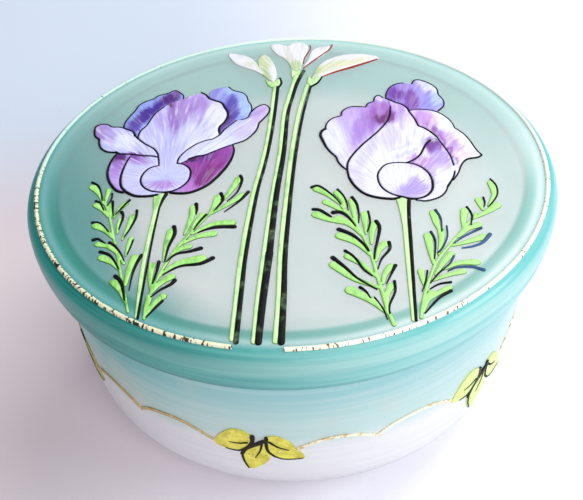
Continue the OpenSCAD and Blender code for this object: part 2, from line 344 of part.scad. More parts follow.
right_spray_paths = [
    [[[21.4, -61.4], [20.3, -55], [19.2, -45], [18.3, -36], [16.5, -27], [13.5, -19],
        [11.4, -13.6]], 1.1, 0.8],
    [[[12, -15.4], [9.4, -11.4], [6.6, -8.6]], 0.7, 2.4],
    [[[13.3, -17], [12.7, -13.6], [11.6, -10.8]], 0.7, 2],
    [[[13.2, -19.4], [10.8, -16.6], [8.6, -14.3]], 0.7, 2.2],
    [[[15.8, -24], [15.3, -19], [15.3, -14.4]], 0.7, 2.2],
    [[[13, -23.6], [9, -21.6], [5.8, -19.2]], 0.8, 2.6],
    [[[17, -29], [14.4, -24.4], [11.2, -21.4]], 0.8, 2.6],
    [[[17.8, -28], [17.8, -24], [18, -20.2]], 0.7, 2.2],
    [[[18.8, -32], [19.2, -28], [20, -24.4]], 0.8, 2.3],
    [[[18.6, -37], [15.4, -31.6], [11.2, -28.2]], 0.9, 2.6],
    [[[19.3, -38.6], [20.2, -35], [21.9, -32.4]], 0.8, 2.3],
    [[[18.8, -44.4], [16, -39.8], [12.6, -36.2]], 0.8, 2.2],
    [[[19.2, -48.4], [13.6, -44.6], [9.1, -39]], 0.9, 2.8],
    [[[20.2, -47], [21, -43.6], [22.7, -41]], 0.8, 2.2],
    [[[20.4, -55], [20.8, -51], [22, -48]], 0.8, 2.1],
    [[[20.3, -57.4], [16.6, -52.4], [12.3, -48.6]], 0.9, 2.9],
    [[[27.8, -59.6], [29.2, -53], [31.5, -46], [34, -40], [38, -34], [42, -28.5], [46, -22.6]], 0.9, 0.9],
    [[[49.6, -20], [51.6, -15.4], [51.6, -10.4]], 0.8, 2.1],
    [[[47.8, -21.4], [47.4, -19], [47.3, -17.2]], 0.8, 2],
    [[[45, -24.6], [48.6, -22.4], [51.6, -20]], 0.8, 2.5],
    [[[42, -29.4], [42.4, -25], [43.2, -21.4]], 0.8, 2.4],
    [[[40.4, -31.4], [43, -28.6], [45.7, -27.3]], 0.8, 2.3],
    [[[36.6, -31], [35.6, -26], [35.4, -21.4]], 0.7, 2.4],
    [[[38.4, -34.6], [42.6, -33.4], [46.6, -32]], 0.8, 2.3],
    [[[34.6, -37.6], [35.8, -33], [36.4, -28.6]], 0.7, 2.1],
    [[[33, -41], [32.8, -35.6], [32.9, -30.4]], 0.8, 2.4],
    [[[35.2, -43.2], [39, -41.3], [43.2, -41.4]], 0.8, 2.3],
    [[[33, -45], [35.2, -41], [37.6, -37.8]], 0.8, 2.2],
    [[[32, -47], [35.8, -45.4], [39.6, -44.4]], 0.8, 1.9],
    [[[30.4, -50.4], [29.8, -47], [29.6, -43.4]], 0.7, 1.8],
    [[[30, -54], [33, -51.4], [35.6, -49.8]], 0.8, 1.9],
    [[[28.6, -57.6], [29.6, -54.4], [31.3, -51.4]], 0.8, 2.1]];
right_shade_paths = [
    [[[5.3, -7.7], [7, -7.3], [9, -9.5], [11.2, -13], [12.3, -15.8]], 1, 0.25],
    [[[11.9, -9.3], [13.2, -12], [13.9, -15], [14, -18.2]], 0.7, 0.25],
    [[[15.4, -13], [16.4, -16], [16.6, -20], [16.3, -23.6]], 1, 0.25],
    [[[5.2, -17], [7, -17.6], [9.4, -20.4]], 1, 0.8],
    [[[10.2, -18.8], [12, -18.9], [13.8, -21], [15.4, -25]], 1.4, 0.25],
    [[[19, -19.2], [19.2, -22.6], [18.8, -25], [18.1, -27.4]], 0.6, 0.3],
    [[[11.1, -25.7], [14.2, -28], [16.8, -32], [17.8, -34.8]], 1.3, 0.5],
    [[[20.7, -23.4], [21.3, -26], [20.3, -31], [19.4, -34.5], [18.9, -38]], 1.2, 0.3],
    [[[23.1, -31.9], [23, -34.5], [20.7, -38], [19.5, -41.6]], 1, 0.3],
    [[[12.1, -34.1], [14.2, -36.8], [16, -41.5], [17.9, -44]], 0.9, 0.25],
    [[[8.9, -36.4], [11.8, -40.5], [14.5, -44.8], [18.6, -49]], 1.3, 0.25],
    [[[23.8, -40.7], [22.8, -43], [21, -47.2]], 1, 0.3],
    [[[14.7, -47.8], [16, -49.5], [16.8, -51.8]], 0.9, 0.3],
    [[[23, -46.4], [22.8, -50], [21.1, -54.5], [20.8, -57.6]], 0.8, 0.3],
    [[[17.8, -51.6], [19.3, -55.5], [20.1, -59.4]], 0.4, 0.3],
    [[[51.7, -8.9], [52.8, -12], [52.3, -16], [49.6, -20.2]], 0.6, 0.25],
    [[[48.7, -16.4], [48.8, -18.5], [48.3, -20.2]], 0.6, 0.3],
    [[[44, -19.9], [44.8, -23], [44, -27.2]], 0.7, 0.3],
    [[[46.3, -28.6], [43.5, -30.2], [41, -31.9], [38.9, -33.7]], 0.8, 0.25],
    [[[48.1, -31.2], [46, -34], [43.5, -35.3], [40.6, -35.8]], 1.1, 0.4],
    [[[36, -20.4], [36.9, -24], [36.5, -29]], 0.9, 0.3],
    [[[38, -27], [37.6, -31], [36, -35], [34.5, -37.1]], 0.5, 0.4],
    [[[33.8, -28.9], [34.4, -32], [34, -36], [33.4, -39.2]], 0.8, 0.3],
    [[[38.2, -38.6], [36.8, -41.3], [33.8, -44.5], [31.4, -47.8]], 0.6, 0.3],
    [[[44.6, -44.3], [42, -43], [38.5, -42.8], [36.1, -43.9]], 1, 0.3],
    [[[31.2, -43.4], [30.4, -47], [29.1, -50.6]], 0.5, 0.25],
    [[[36.2, -48], [33.4, -48.4], [31.1, -49.9]], 0.7, 0.3],
    [[[35.9, -51], [33, -53], [30.5, -56], [28.9, -58.2]], 0.9, 0.3]];

// ---- curves ----

function mix(a, b, t) = a + (b - a) * t;

// A smooth step from b to c, with a before and d after
function bend(a, b, c, d, t) =
    0.5 * (2 * b + (c - a) * t + (2 * a - 5 * b + 4 * c - d) * t * t + (3 * b - a - 3 * c + d) * t * t * t);

// Smooth open line through hand-set points
function through(p, n = 4) =
    concat([for (i = [0 : len(p) - 2]) for (k = [0 : n - 1])
        bend(p[max(i - 1, 0)], p[i], p[i + 1], p[min(i + 2, len(p) - 1)], k / n)], [p[len(p) - 1]]);

// Smooth closed outline round hand-set points
function around(p, n = 3) =
    [for (i = [0 : len(p) - 1]) for (k = [0 : n - 1])
        bend(p[(i + len(p) - 1) % len(p)], p[i], p[(i + 1) % len(p)], p[(i + 2) % len(p)], k / n)];

function heading(q, i) =
    let (v = q[min(i + 1, len(q) - 1)] - q[max(i - 1, 0)]) v / norm(v);

// One long side of a brush stroke; s is 1 for the left side and -1 for the right
function flank(q, wa, wb, s) =
    [for (i = [0 : len(q) - 1])
        let (h = heading(q, i), w = mix(wa, wb, i / (len(q) - 1))) q[i] + s * w / 2 * [-h[1], h[0]]];

// The round end of a stroke that runs towards h
function tip(c, h, w) =
    [for (a = [45 : 45 : 135]) c + w / 2 * (cos(a) * [-h[1], h[0]] + sin(a) * h)];

function turned(p) = [for (i = [len(p) - 1 : -1 : 0]) p[i]];

module stroke(path, wa, wb) {
    q = through(path);
    last = len(q) - 1;
    polygon(concat(flank(q, wa, wb, 1), tip(q[last], heading(q, last), wb),
        turned(flank(q, wa, wb, -1)), tip(q[0], -heading(q, 0), wa)));
}

module strokes(list) {
    for (s = list) stroke(s[0], s[1], s[2]);
}

module outlines(list) {
    for (p = list) polygon(around(p));
}

// ---- glass ----

// Section of the lid's outside: flat top, round shoulder, curved side, rounded lower edge
module lid_outside() {
    translate([0, lid_edge]) square([shoulder_x, lid_top - lid_edge]);
    intersection() {
        translate([shoulder_x, shoulder_z]) circle(shoulder_r);
        translate([shoulder_x, shoulder_z]) square([shoulder_r, shoulder_r]);
    }
    difference() {
        intersection() {
            translate([side_x, shoulder_z]) circle(side_arc);
            translate([side_x, lid_edge]) square([side_arc, side_h]);
        }
        difference() {
            polygon([[edge_x, edge_z], [edge_x, lid_edge - 1], [lid_r + 1, lid_edge - 1],
                [edge_x, edge_z] + 4 * edge_round * edge_way]);
            translate([edge_x, edge_z]) circle(edge_round);
        }
    }
}

module lid_glass() {
    color([0.55, 0.78, 0.78, 0.5]) rotate_extrude() difference() {
        lid_outside();
        translate([-1, lid_edge - 1]) square([skirt_bore + 1, seat_z - lid_edge + 1]);
        translate([-2 * lid_r, 0]) square([2 * lid_r, 2 * lid_top]);
    }
}

// Section of the bowl's outside up to the neck, grown outwards by g
module bowl_outside(g) {
    lower = corner + (corner_r + g) * wall_out;
    upper = lower + wall_len * wall_up;
    intersection() {
        union() {
            translate(corner) circle(corner_r + g);
            polygon([[0, -g], [corner_x, -g], corner, lower, upper, [0, upper[1]]]);
        }
        translate([0, -g]) square([2 * lid_r, 2 * lid_top]);
    }
}

// Upright neck with a flat, round-edged rim that the lid sits on
module neck() {
    foot_z = neck_z - neck_root;
    translate([bore_r, foot_z]) square([neck_wall, seat_z - foot_z - rim_round]);
    translate([bore_r + rim_round, foot_z]) square([neck_wall - 2 * rim_round, seat_z - foot_z]);
    translate([bore_r + rim_round, seat_z - rim_round]) circle(rim_round);
    translate([neck_r - rim_round, seat_z - rim_round]) circle(rim_round);
}

module bowl_inside() {
    translate([corner_x, corner_r]) circle(inner_r);
    polygon([[0, floor_wall], [corner_x, floor_wall], corner, [corner_x + inner_r, corner_r],
        [bore_r, neck_z], [bore_r, seat_z + 1], [0, seat_z + 1]]);
}

module base_glass() {
    color([0.75, 0.88, 0.9, 0.5]) rotate_extrude() difference() {
        union() {
            bowl_outside(0);
            neck();
        }
        bowl_inside();
        translate([-1, -1]) square([foot_hollow_r + 1, foot_hollow_h + 1]);
        translate([-2 * lid_r, -1]) square([2 * lid_r, 2 * lid_top]);
    }
}

// ---- enamel on the bowl ----

// Flat drawing pushed outwards through the wall at a direction round the bowl
module outwards(direction) {
    rotate([0, 0, direction - 270]) rotate([90, 0, 0]) translate([0, 0, wall_r - wall_reach])
        linear_extrude(2 * wall_reach) children();
}

// Skin of the bowl, h thick, over the heights that carry enamel
module bowl_skin(h) {
    rotate_extrude() difference() {
        bowl_outside(h);
        bowl_outside(0);
        translate([0, skin_low - lid_r]) square([2 * lid_r, lid_r]);
        translate([0, skin_high]) square([2 * lid_r, lid_r]);
    }
}

module vein_drawing() {
    strokes(base_vein_paths);
}

module base_leaves() {
    color([0.85, 0.83, 0.3]) for (k = [0 : leaf_groups - 1]) intersection() {
        bowl_skin(enamel_h);
        outwards(front_group + k * sector) difference() {
            outlines(base_leaf_shapes);
            vein_drawing();
        }
    }
}

module base_leaf_veins() {
    color([0.08, 0.08, 0.06]) for (k = [0 : leaf_groups - 1]) intersection() {
        bowl_skin(line_h);
        outwards(front_group + k * sector) vein_drawing();
    }
}

// The stretch of scallops from point a to point b, drawn straight on to its own middle
module scallop_run(start, a, b) {
    middle = (scallops[a][0] + scallops[b][0]) / 2;
    outwards(start + middle)
        stroke([for (i = [a : b]) [wall_r * sin(scallops[i][0] - middle), scallops[i][1]]],
            scallop_line_w, scallop_line_w);
}

module base_scallop_line() {
    low = 4;
    color([0.75, 0.6, 0.3]) for (k = [0 : leaf_groups - 1]) intersection() {
        bowl_skin(enamel_h);
        union() {
            scallop_run(front_group + k * sector, 0, low);
            scallop_run(front_group + k * sector, low, len(scallops) - 1);
        }
    }
}

// ---- enamel on the lid ----

module on_lid(h) {
    translate([0, 0, lid_top]) linear_extrude(h) children();
}

// Raised line on the shoulder, in equal spans that meet end to end
module lid_rim_line() {
    span = (360 - line_gap_end + line_gap_start) / line_spans;
    line_z = shoulder_z + sqrt(pow(shoulder_r, 2) - pow(rim_line_r - shoulder_x, 2));
    color([0.93, 0.92, 0.82]) for (k = [0 : line_spans - 1]) rotate([0, 0, line_gap_end + k * span])
        rotate_extrude(angle = span) difference() {
            translate([rim_line_r, line_z]) circle(rim_line_section);
            lid_outside();
        }
}

module centre_stem_lines() {
    color([0.06, 0.08, 0.06]) on_lid(line_h) strokes(centre_line_paths);
}

module centre_stems() {
    color([0.6, 0.82, 0.5]) on_lid(enamel_h) difference() {
        strokes(centre_green_paths);
        strokes(centre_line_paths);
        strokes(left_line_paths);
    }
}

module bud_cups() {
    color([0.6, 0.82, 0.5]) on_lid(enamel_h) difference() {
        outlines(bud_cup_shapes);
        strokes(centre_line_paths);
        strokes(centre_green_paths);
        strokes(bud_red_paths);
    }
}

module bud_petals() {
    color([0.92, 0.95, 0.92]) on_lid(enamel_h) difference() {
        outlines(bud_shapes);
        outlines(bud_cup_shapes);
        strokes(centre_line_paths);
        strokes(centre_green_paths);
        strokes(bud_red_paths);
    }
}

module bud_red_edges() {
    color([0.65, 0.25, 0.25]) on_lid(enamel_h) difference() {
        strokes(bud_red_paths);
        strokes(centre_line_paths);
    }
}

module left_lines_drawing() {
    strokes(left_line_paths);
    strokes(left_stem_line_paths);
}

module left_front_drawing() {
    outlines([left_standard, left_pouch, left_wing, right_wing]);
}

module left_flower_lines() {
    color([0.08, 0.06, 0.12]) on_lid(line_h) left_lines_drawing();
}

module left_pale_petals() {
    color([0.84, 0.82, 0.94]) on_lid(enamel_h) difference() {
        union() {
            left_front_drawing();
            outlines([left_inner_cup]);
        }
        left_lines_drawing();
    }
}

module left_blue_petals() {
    color([0.5, 0.55, 0.85]) on_lid(enamel_h) difference() {
        outlines([left_back_petal, right_back_petal_left]);
        left_front_drawing();
        left_lines_drawing();
    }
}

module left_purple_petals() {
    color([0.55, 0.3, 0.65]) on_lid(enamel_h) difference() {
        outlines([left_outer_cup, left_dark_cup]);
        left_front_drawing();
        outlines([left_inner_cup]);
        left_lines_drawing();
    }
}

module left_flower_stem() {
    color([0.6, 0.82, 0.5]) on_lid(enamel_h) difference() {
        strokes(left_stem_paths);
        left_front_drawing();
        outlines([left_inner_cup]);
        left_lines_drawing();
    }
}

module left_leaf_lines() {
    color([0.06, 0.08, 0.06]) on_lid(line_h) difference() {
        strokes(left_shade_paths);
        strokes(left_stem_paths);
        left_lines_drawing();
    }
}

module left_leaf_sprays() {
    color([0.56, 0.84, 0.42]) on_lid(enamel_h) difference() {
        strokes(left_spray_paths);
        strokes(left_shade_paths);
        left_lines_drawing();
        strokes(left_stem_paths);
    }
}

module right_lines_drawing() {
    strokes(right_line_paths);
    strokes(right_stem_line_paths);
}

module right_flower_lines() {
    color([0.08, 0.06, 0.12]) on_lid(line_h) right_lines_drawing();
}

module right_pale_petals() {
    color([0.9, 0.88, 0.96]) on_lid(enamel_h) difference() {
        outlines([front_cup, right_pouch, far_cup, outer_fall]);
        right_lines_drawing();
    }
}

module right_mauve_petal() {
    color([0.72, 0.58, 0.85]) on_lid(enamel_h) difference() {
        outlines([side_cup]);
        outlines([front_cup, right_pouch]);
        right_lines_drawing();
    }
}

module right_back_petal() {
    color([0.6, 0.5, 0.8]) on_lid(enamel_h) difference() {
        outlines([back_petal]);
        outlines([front_cup, side_cup, outer_fall]);
        right_lines_drawing();
    }
}

module right_flower_stem() {
    color([0.6, 0.82, 0.5]) on_lid(enamel_h) difference() {
        strokes(right_stem_paths);
        outlines([front_cup, right_pouch]);
        right_lines_drawing();
    }
}

module right_leaf_lines() {
    color([0.06, 0.08, 0.1]) on_lid(line_h) difference() {
        strokes(right_shade_paths);
        right_lines_drawing();
    }
}

module right_leaf_sprays() {
    color([0.56, 0.84, 0.42]) on_lid(enamel_h) difference() {
        strokes(right_spray_paths);
        strokes(right_shade_paths);
        right_lines_drawing();
        strokes(right_stem_paths);
    }
}

base_glass();
base_scallop_line();
base_leaves();
base_leaf_veins();
lid_glass();
lid_rim_line();
centre_stems();
centre_stem_lines();
bud_petals();
bud_cups();
bud_red_edges();
left_pale_petals();
left_blue_petals();
left_purple_petals();
left_flower_lines();
left_flower_stem();
left_leaf_sprays();
left_leaf_lines();
right_pale_petals();
right_mauve_petal();
right_back_petal();
right_flower_lines();
right_flower_stem();
right_leaf_sprays();
right_leaf_lines();
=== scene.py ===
"""Looks of the round satin-glass trinket box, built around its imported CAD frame.

The two glass bodies, the lid's cream line and the bowl's enamel keep their CAD shape. The flat
enamel on the lid is replaced by domed brush strokes grown from each CAD node's own outline, so
paint and line stand up as real relief.
"""

import math

import bpy
import numpy as np
from mathutils import Matrix, Vector, noise
from mathutils.geometry import delaunay_2d_cdt


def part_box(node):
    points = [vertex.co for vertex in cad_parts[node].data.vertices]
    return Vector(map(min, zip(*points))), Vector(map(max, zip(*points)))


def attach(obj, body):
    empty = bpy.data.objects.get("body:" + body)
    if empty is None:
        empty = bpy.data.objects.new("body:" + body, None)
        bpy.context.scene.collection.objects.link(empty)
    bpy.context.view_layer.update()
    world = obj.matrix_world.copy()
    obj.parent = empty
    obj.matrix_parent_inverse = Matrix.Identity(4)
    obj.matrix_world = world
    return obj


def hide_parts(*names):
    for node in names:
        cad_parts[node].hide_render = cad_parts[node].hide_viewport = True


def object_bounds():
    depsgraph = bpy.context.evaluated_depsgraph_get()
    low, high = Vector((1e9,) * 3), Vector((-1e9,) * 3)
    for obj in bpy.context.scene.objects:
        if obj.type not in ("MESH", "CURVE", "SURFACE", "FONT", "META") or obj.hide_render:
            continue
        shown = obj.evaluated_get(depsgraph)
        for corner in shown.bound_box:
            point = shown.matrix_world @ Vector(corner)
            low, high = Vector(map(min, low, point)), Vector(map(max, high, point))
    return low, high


MM = 0.001

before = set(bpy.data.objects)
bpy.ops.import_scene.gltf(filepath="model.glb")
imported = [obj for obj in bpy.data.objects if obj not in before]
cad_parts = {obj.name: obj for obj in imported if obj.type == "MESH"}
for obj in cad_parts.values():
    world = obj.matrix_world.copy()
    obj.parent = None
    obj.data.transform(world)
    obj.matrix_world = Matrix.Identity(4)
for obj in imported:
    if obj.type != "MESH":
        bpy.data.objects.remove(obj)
cad_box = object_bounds()

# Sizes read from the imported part, in millimetres
lid_low, lid_high = (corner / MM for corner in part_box("lid_glass"))
LID_R = lid_high.x
LID_TOP = lid_high.z
LID_EDGE = lid_low.z
RIM_LINE_INSET = 2.8
RIM_LINE_R = LID_R - RIM_LINE_INSET
SCALLOP_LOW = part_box("base_scallop_line")[0].z / MM
SCALLOP_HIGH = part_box("base_scallop_line")[1].z / MM

# Heights above the lid's top at which raised paint begins to count as its crown, and is all crown
CROWN_START = 0.08
CROWN_FULL = 0.34
# How soft the rim of a patch of paint is, as a share of its size
PATCH_EDGE = 0.45


# ---- node helpers ----


def linear(rgb):
    """A screen colour, 0 to 255 each, as the linear colour that the shader takes."""
    parts = [c / 255 for c in rgb]
    return [c / 12.92 if c <= 0.04045 else ((c + 0.055) / 1.055) ** 2.4 for c in parts] + [1.0]


class Surface:
    """One Principled material and short ways to build the nodes behind it. Places are in millimetres."""

    def __init__(self, name):
        self.material = bpy.data.materials.new(name)
        self.material.use_nodes = True
        self.tree = self.material.node_tree
        self.tree.nodes.clear()
        out = self.add("ShaderNodeOutputMaterial")
        self.shader = self.add("ShaderNodeBsdfPrincipled")
        self.tree.links.new(self.shader.outputs[0], out.inputs["Surface"])
        here = self.add("ShaderNodeTexCoord").outputs["Object"]
        self.mm = self.vector("SCALE", here, scale=1 / MM)
        split = self.add("ShaderNodeSeparateXYZ", {0: self.mm})
        self.x, self.y, self.z = split.outputs
        self.crown = self.step(self.z, LID_TOP + CROWN_START, LID_TOP + CROWN_FULL)
        self.normal = None

    def add(self, kind, values=None, **settings):
        node = self.tree.nodes.new(kind)
        for key, value in settings.items():
            setattr(node, key, value)
        for key, value in (values or {}).items():
            if isinstance(value, bpy.types.NodeSocket):
                self.tree.links.new(value, node.inputs[key])
            else:
                node.inputs[key].default_value = value
        return node

    def vector(self, operation, a, b=None, scale=None):
        values = {0: a}
        if b is not None:
            values[1] = b
        if scale is not None:
            values["Scale"] = scale
        node = self.add("ShaderNodeVectorMath", values, operation=operation)
        return node.outputs["Value" if operation in ("LENGTH", "DOT_PRODUCT") else "Vector"]

    def math(self, operation, a, b=0.0):
        return self.add("ShaderNodeMath", {0: a, 1: b}, operation=operation).outputs[0]

    def join(self, x=0.0, y=0.0, z=0.0):
        return self.add("ShaderNodeCombineXYZ", {0: x, 1: y, 2: z}).outputs[0]

    def step(self, value, start, end, low=0.0, high=1.0):
        """A soft step of value: low at start, high at end."""
        node = self.add("ShaderNodeMapRange", {0: value, 1: start, 2: end, 3: low, 4: high},
                        interpolation_type="SMOOTHSTEP", clamp=True)
        return node.outputs[0]

    def noise(self, size, detail=3.0, rough=0.55, at=None):
        """Noise whose blobs are about size millimetres wide."""
        values = {"Vector": at or self.mm, "Scale": 1 / size, "Detail": detail, "Roughness": rough}
        return self.add("ShaderNodeTexNoise", values).outputs[0]

    def mix(self, factor, a, b, blend="MIX"):
        colours = [v if isinstance(v, bpy.types.NodeSocket) else linear(v) for v in (a, b)]
        node = self.add("ShaderNodeMix", {0: factor, 6: colours[0], 7: colours[1]},
                        data_type="RGBA", blend_type=blend)
        return node.outputs[2]

    def turned(self, long, tall):
        """Noise in streaks that run round the box, even down its top, its edge and its side."""
        flat = self.join(self.x, self.y)
        round_it = self.vector("SCALE", self.vector("NORMALIZE", flat), scale=LID_R / long)
        path = self.math("SUBTRACT", self.vector("LENGTH", flat), self.z)
        down = self.join(z=self.math("MULTIPLY", path, 1 / tall))
        return self.noise(1.0, detail=1, at=self.vector("ADD", round_it, down))

    def around(self, centre, across, along):
        """Coordinates that fan out from a point: across counts round it and along counts away from it."""
        off = self.vector("SUBTRACT", self.mm, (centre[0], centre[1], 0))
        part = self.add("ShaderNodeSeparateXYZ", {0: off}).outputs
        turn = self.math("ARCTAN2", part[0], part[1])
        far = self.vector("LENGTH", self.join(part[0], part[1]))
        return self.join(self.math("MULTIPLY", turn, across), self.math("MULTIPLY", far, along))

    def patch(self, at, x, y, wide, tall, turn=0.0):
        """1 inside a soft ellipse on the lid, 0 outside it."""
        off = self.vector("SUBTRACT", at, (x, y, 0))
        spun = self.add("ShaderNodeVectorRotate", {"Vector": off, "Angle": -math.radians(turn)},
                        rotation_type="Z_AXIS").outputs[0]
        unit = self.vector("MULTIPLY", spun, (1 / wide, 1 / tall, 0))
        return self.step(self.vector("LENGTH", unit), 1 + PATCH_EDGE, 1 - PATCH_EDGE)

    def bump(self, height, distance, strength):
        """Adds relief: height from 0 to 1 stands for distance millimetres."""
        values = {"Strength": strength, "Distance": distance * MM, "Height": height}
        if self.normal is not None:
            values["Normal"] = self.normal
        self.normal = self.add("ShaderNodeBump", values).outputs[0]

    def finish(self, **values):
        """Sets the shader's sockets: numbers and colours stay on the socket, node outputs are linked."""
        if self.normal is not None:
            values["Normal"] = self.normal
        for key, value in values.items():
            socket = self.shader.inputs[key.replace("_", " ")]
            if isinstance(value, bpy.types.NodeSocket):
                self.tree.links.new(value, socket)
            else:
                socket.default_value = value
        return self.material


# ---- enamel materials ----

# Brush-painted petals: ground colour, the point the strokes fan out from, and soft patches of paint.
# A patch is x, y, half width, half height, turn in degrees, colour, strength.
PETALS = {
    "left_pale_petals": ((206, 209, 248), (-33, 0), [
        (-20, 24, 3.6, 9.5, 0, (240, 245, 255), 0.95),
        (-26, 19, 4, 5, 0, (230, 236, 255), 0.6),
        (-27, 35, 5.5, 4.6, 10, (184, 146, 220), 0.85),
        (-28.4, 29, 1.6, 5.5, -12, (162, 118, 204), 0.7),
        (-24.3, 30, 1.4, 6, -10, (186, 152, 224), 0.6),
        (-31.8, 29, 1.7, 9.5, 3, (154, 108, 196), 0.85),
        (-35.2, 27, 1.7, 5, 8, (182, 156, 226), 0.65),
        (-33, 34.8, 0.7, 2.2, 15, (84, 60, 96), 0.85),
        (-33, 12, 2.2, 8, 0, (196, 202, 255), 0.7),
        (-52.2, 23.6, 2.6, 4.4, 0, (168, 132, 204), 0.9),
        (-49.2, 21.5, 1.8, 5.2, 8, (190, 176, 232), 0.85),
        (-44.6, 18, 3.4, 3.4, -20, (238, 245, 255), 0.8),
        (-7.2, 28.4, 2.6, 5, -25, (206, 180, 236), 0.9),
        (-11, 20, 2, 5, -35, (224, 212, 248), 0.7),
        (-20, 13, 7, 1.8, 28, (236, 246, 255), 0.85),
        (-33, 1.6, 5.2, 3.4, 0, (206, 216, 255), 0.6),
        (-34.2, -3, 3.6, 1.9, 0, (184, 140, 220), 0.95),
        (-42, 10.6, 3.6, 1.8, -12, (128, 66, 172), 0.95),
        (-40.4, 8.2, 3, 1.6, -15, (180, 140, 218), 0.8),
    ]),
    "left_blue_petals": ((150, 170, 236), (-30, 8), [
        (-39, 31, 2.3, 9.5, -37, (72, 40, 150), 1.0),
        (-42.2, 24.6, 1.4, 4, -12, (98, 66, 172), 0.9),
        (-33, 38, 2.5, 3, -30, (78, 24, 124), 1.0),
        (-30.8, 40.6, 1.5, 1.7, 0, (128, 88, 156), 0.85),
        (-15.6, 30, 2.4, 8.5, -4, (92, 70, 178), 0.95),
        (-17.9, 23.6, 1.6, 6, -18, (88, 44, 136), 0.9),
        (-20.2, 39.2, 2.2, 3.4, -12, (156, 154, 230), 0.85),
        (-11.6, 33, 1.8, 6.5, 6, (178, 208, 255), 0.95),
        (-15, 40.6, 2.6, 2, 0, (172, 200, 255), 0.9),
    ]),
    "left_purple_petals": ((190, 162, 230), (-28, -14), [
        (-46.6, 11, 2.4, 2.8, 0, (86, 14, 116), 1.0),
        (-46.4, 6.6, 1.6, 2.6, 0, (158, 108, 200), 0.7),
        (-20, 4, 10.5, 12, -25, (152, 60, 158), 1.0),
        (-21.6, 1.4, 1.9, 8, -28, (128, 14, 122), 0.95),
        (-18.4, 8, 1.3, 5, -28, (170, 74, 172), 0.7),
        (-26, 8, 4.4, 1.3, 18, (62, 14, 84), 0.95),
        (-22.4, 8.2, 3, 2.2, 20, (112, 36, 146), 0.7),
        (-27.6, -2.6, 2, 5.4, 4, (196, 132, 216), 0.9),
        (-24, -5.4, 3.4, 0.9, 14, (196, 120, 206), 0.7),
    ]),
    "right_pale_petals": ((242, 245, 255), (28, -14), [
        (30.8, 26.4, 3.6, 6, -4, (202, 166, 242), 0.95),
        (28.2, 21.6, 2.2, 3.6, -14, (132, 48, 146), 0.95),
        (32.4, 19.4, 1.4, 4, -8, (226, 212, 250), 0.7),
        (27.8, 13, 2.6, 5.4, -14, (216, 206, 248), 0.7),
        (20.6, 5.6, 1.8, 9, -24, (220, 214, 250), 0.75),
        (17.6, -5, 1.4, 5, 14, (222, 216, 250), 0.7),
        (31.6, 4.6, 4, 0.8, 30, (206, 212, 238), 0.7),
        (30, 7.4, 4.4, 0.7, 24, (214, 218, 242), 0.6),
        (31.4, -11.6, 4.4, 3.2, 12, (188, 164, 242), 1.0),
        (32.2, -8.2, 1.8, 2.2, 0, (192, 168, 242), 0.9),
        (35.2, 0.2, 4, 3, -30, (190, 132, 218), 0.95),
        (38.8, 6.6, 2.4, 3.8, 20, (128, 52, 158), 1.0),
        (40.2, 1.2, 2.4, 4.4, 8, (192, 164, 242), 0.95),
        (37.2, -5, 1.1, 4.6, -4, (206, 184, 246), 0.8),
        (38, 20, 2.8, 5.6, 18, (216, 166, 238), 0.95),
        (40.4, 13.4, 1.3, 4.6, 22, (160, 88, 184), 0.95),
        (43.6, 8, 2.5, 5.6, 20, (206, 166, 240), 0.9),
        (42.8, 5, 0.8, 7.4, 13, (164, 96, 188), 0.9),
        (46.2, 2.2, 2.6, 2, 0, (252, 228, 250), 0.8),
    ]),
    "right_mauve_petal": ((204, 186, 246), (20, -16), [
        (20.4, 19, 2.2, 9.5, -14, (178, 132, 216), 0.8),
        (23.4, 22, 1.5, 8, -8, (168, 112, 206), 0.75),
        (18.2, 25, 2.6, 3, 0, (208, 180, 246), 0.8),
        (26.6, 24.4, 3.6, 6.6, -6, (166, 98, 194), 0.9),
        (26.6, 21.4, 2.6, 2.2, 12, (112, 28, 118), 1.0),
        (28.4, 22.6, 1.1, 3.6, -10, (98, 24, 108), 0.95),
        (26, 31.4, 1.9, 1.7, 0, (222, 216, 252), 0.9),
        (11.2, 12, 4.6, 14, 8, (240, 245, 255), 1.0),
        (13.6, 2, 2, 4.4, 14, (232, 232, 254), 0.9),
    ]),
    "right_back_petal": ((166, 152, 232), (30, 16), [
        (31.2, 33.6, 2.5, 4, -8, (118, 54, 166), 1.0),
        (35.4, 29.6, 2.3, 5.6, 0, (132, 64, 170), 0.95),
        (34, 36.4, 2.2, 2.2, 0, (170, 146, 224), 0.8),
        (40, 29, 1.6, 4, 0, (150, 150, 232), 0.8),
        (42.6, 30.4, 1.7, 5, -6, (188, 214, 255), 0.9),
        (40.8, 37, 2.4, 4.4, 22, (236, 242, 255), 0.95),
    ]),
    "bud_petals": ((240, 244, 242), (2, 40), [
        (-14, 58.4, 3, 1.6, 40, (232, 236, 244), 0.7),
        (-8.6, 54.6, 2.6, 1.6, 40, (222, 232, 196), 0.8),
        (-5.8, 54.2, 2, 4.4, 0, (208, 226, 160), 0.9),
        (1.4, 53.6, 2.6, 4, 0, (226, 236, 196), 0.7),
        (13.4, 49.8, 7.4, 2.2, 18, (222, 236, 182), 0.85),
        (-5.2, 47.6, 1.2, 3.6, 10, (180, 212, 138), 0.95),
        (3.6, 51.4, 2, 2.8, 0, (190, 216, 148), 0.9),
        (1.6, 58, 1, 4.6, 6, (226, 232, 214), 0.8),
        (9.2, 47.4, 1.4, 3.6, -24, (188, 214, 144), 0.9),
        (20, 51.6, 7, 1.4, 18, (240, 240, 196), 0.85),
        (24.6, 54.4, 3, 1, 0, (252, 250, 240), 0.8),
    ]),
}

# The whole petal is toned by this, and its fine dark strokes take the shade; its rim is darkened toward the
# shade as painted shade
PETAL_TONE = (232, 230, 240)
PETAL_SHADE = (112, 92, 172)
BUD_SHADE = (168, 176, 140)
STROKE_WHITE = (250, 251, 255)
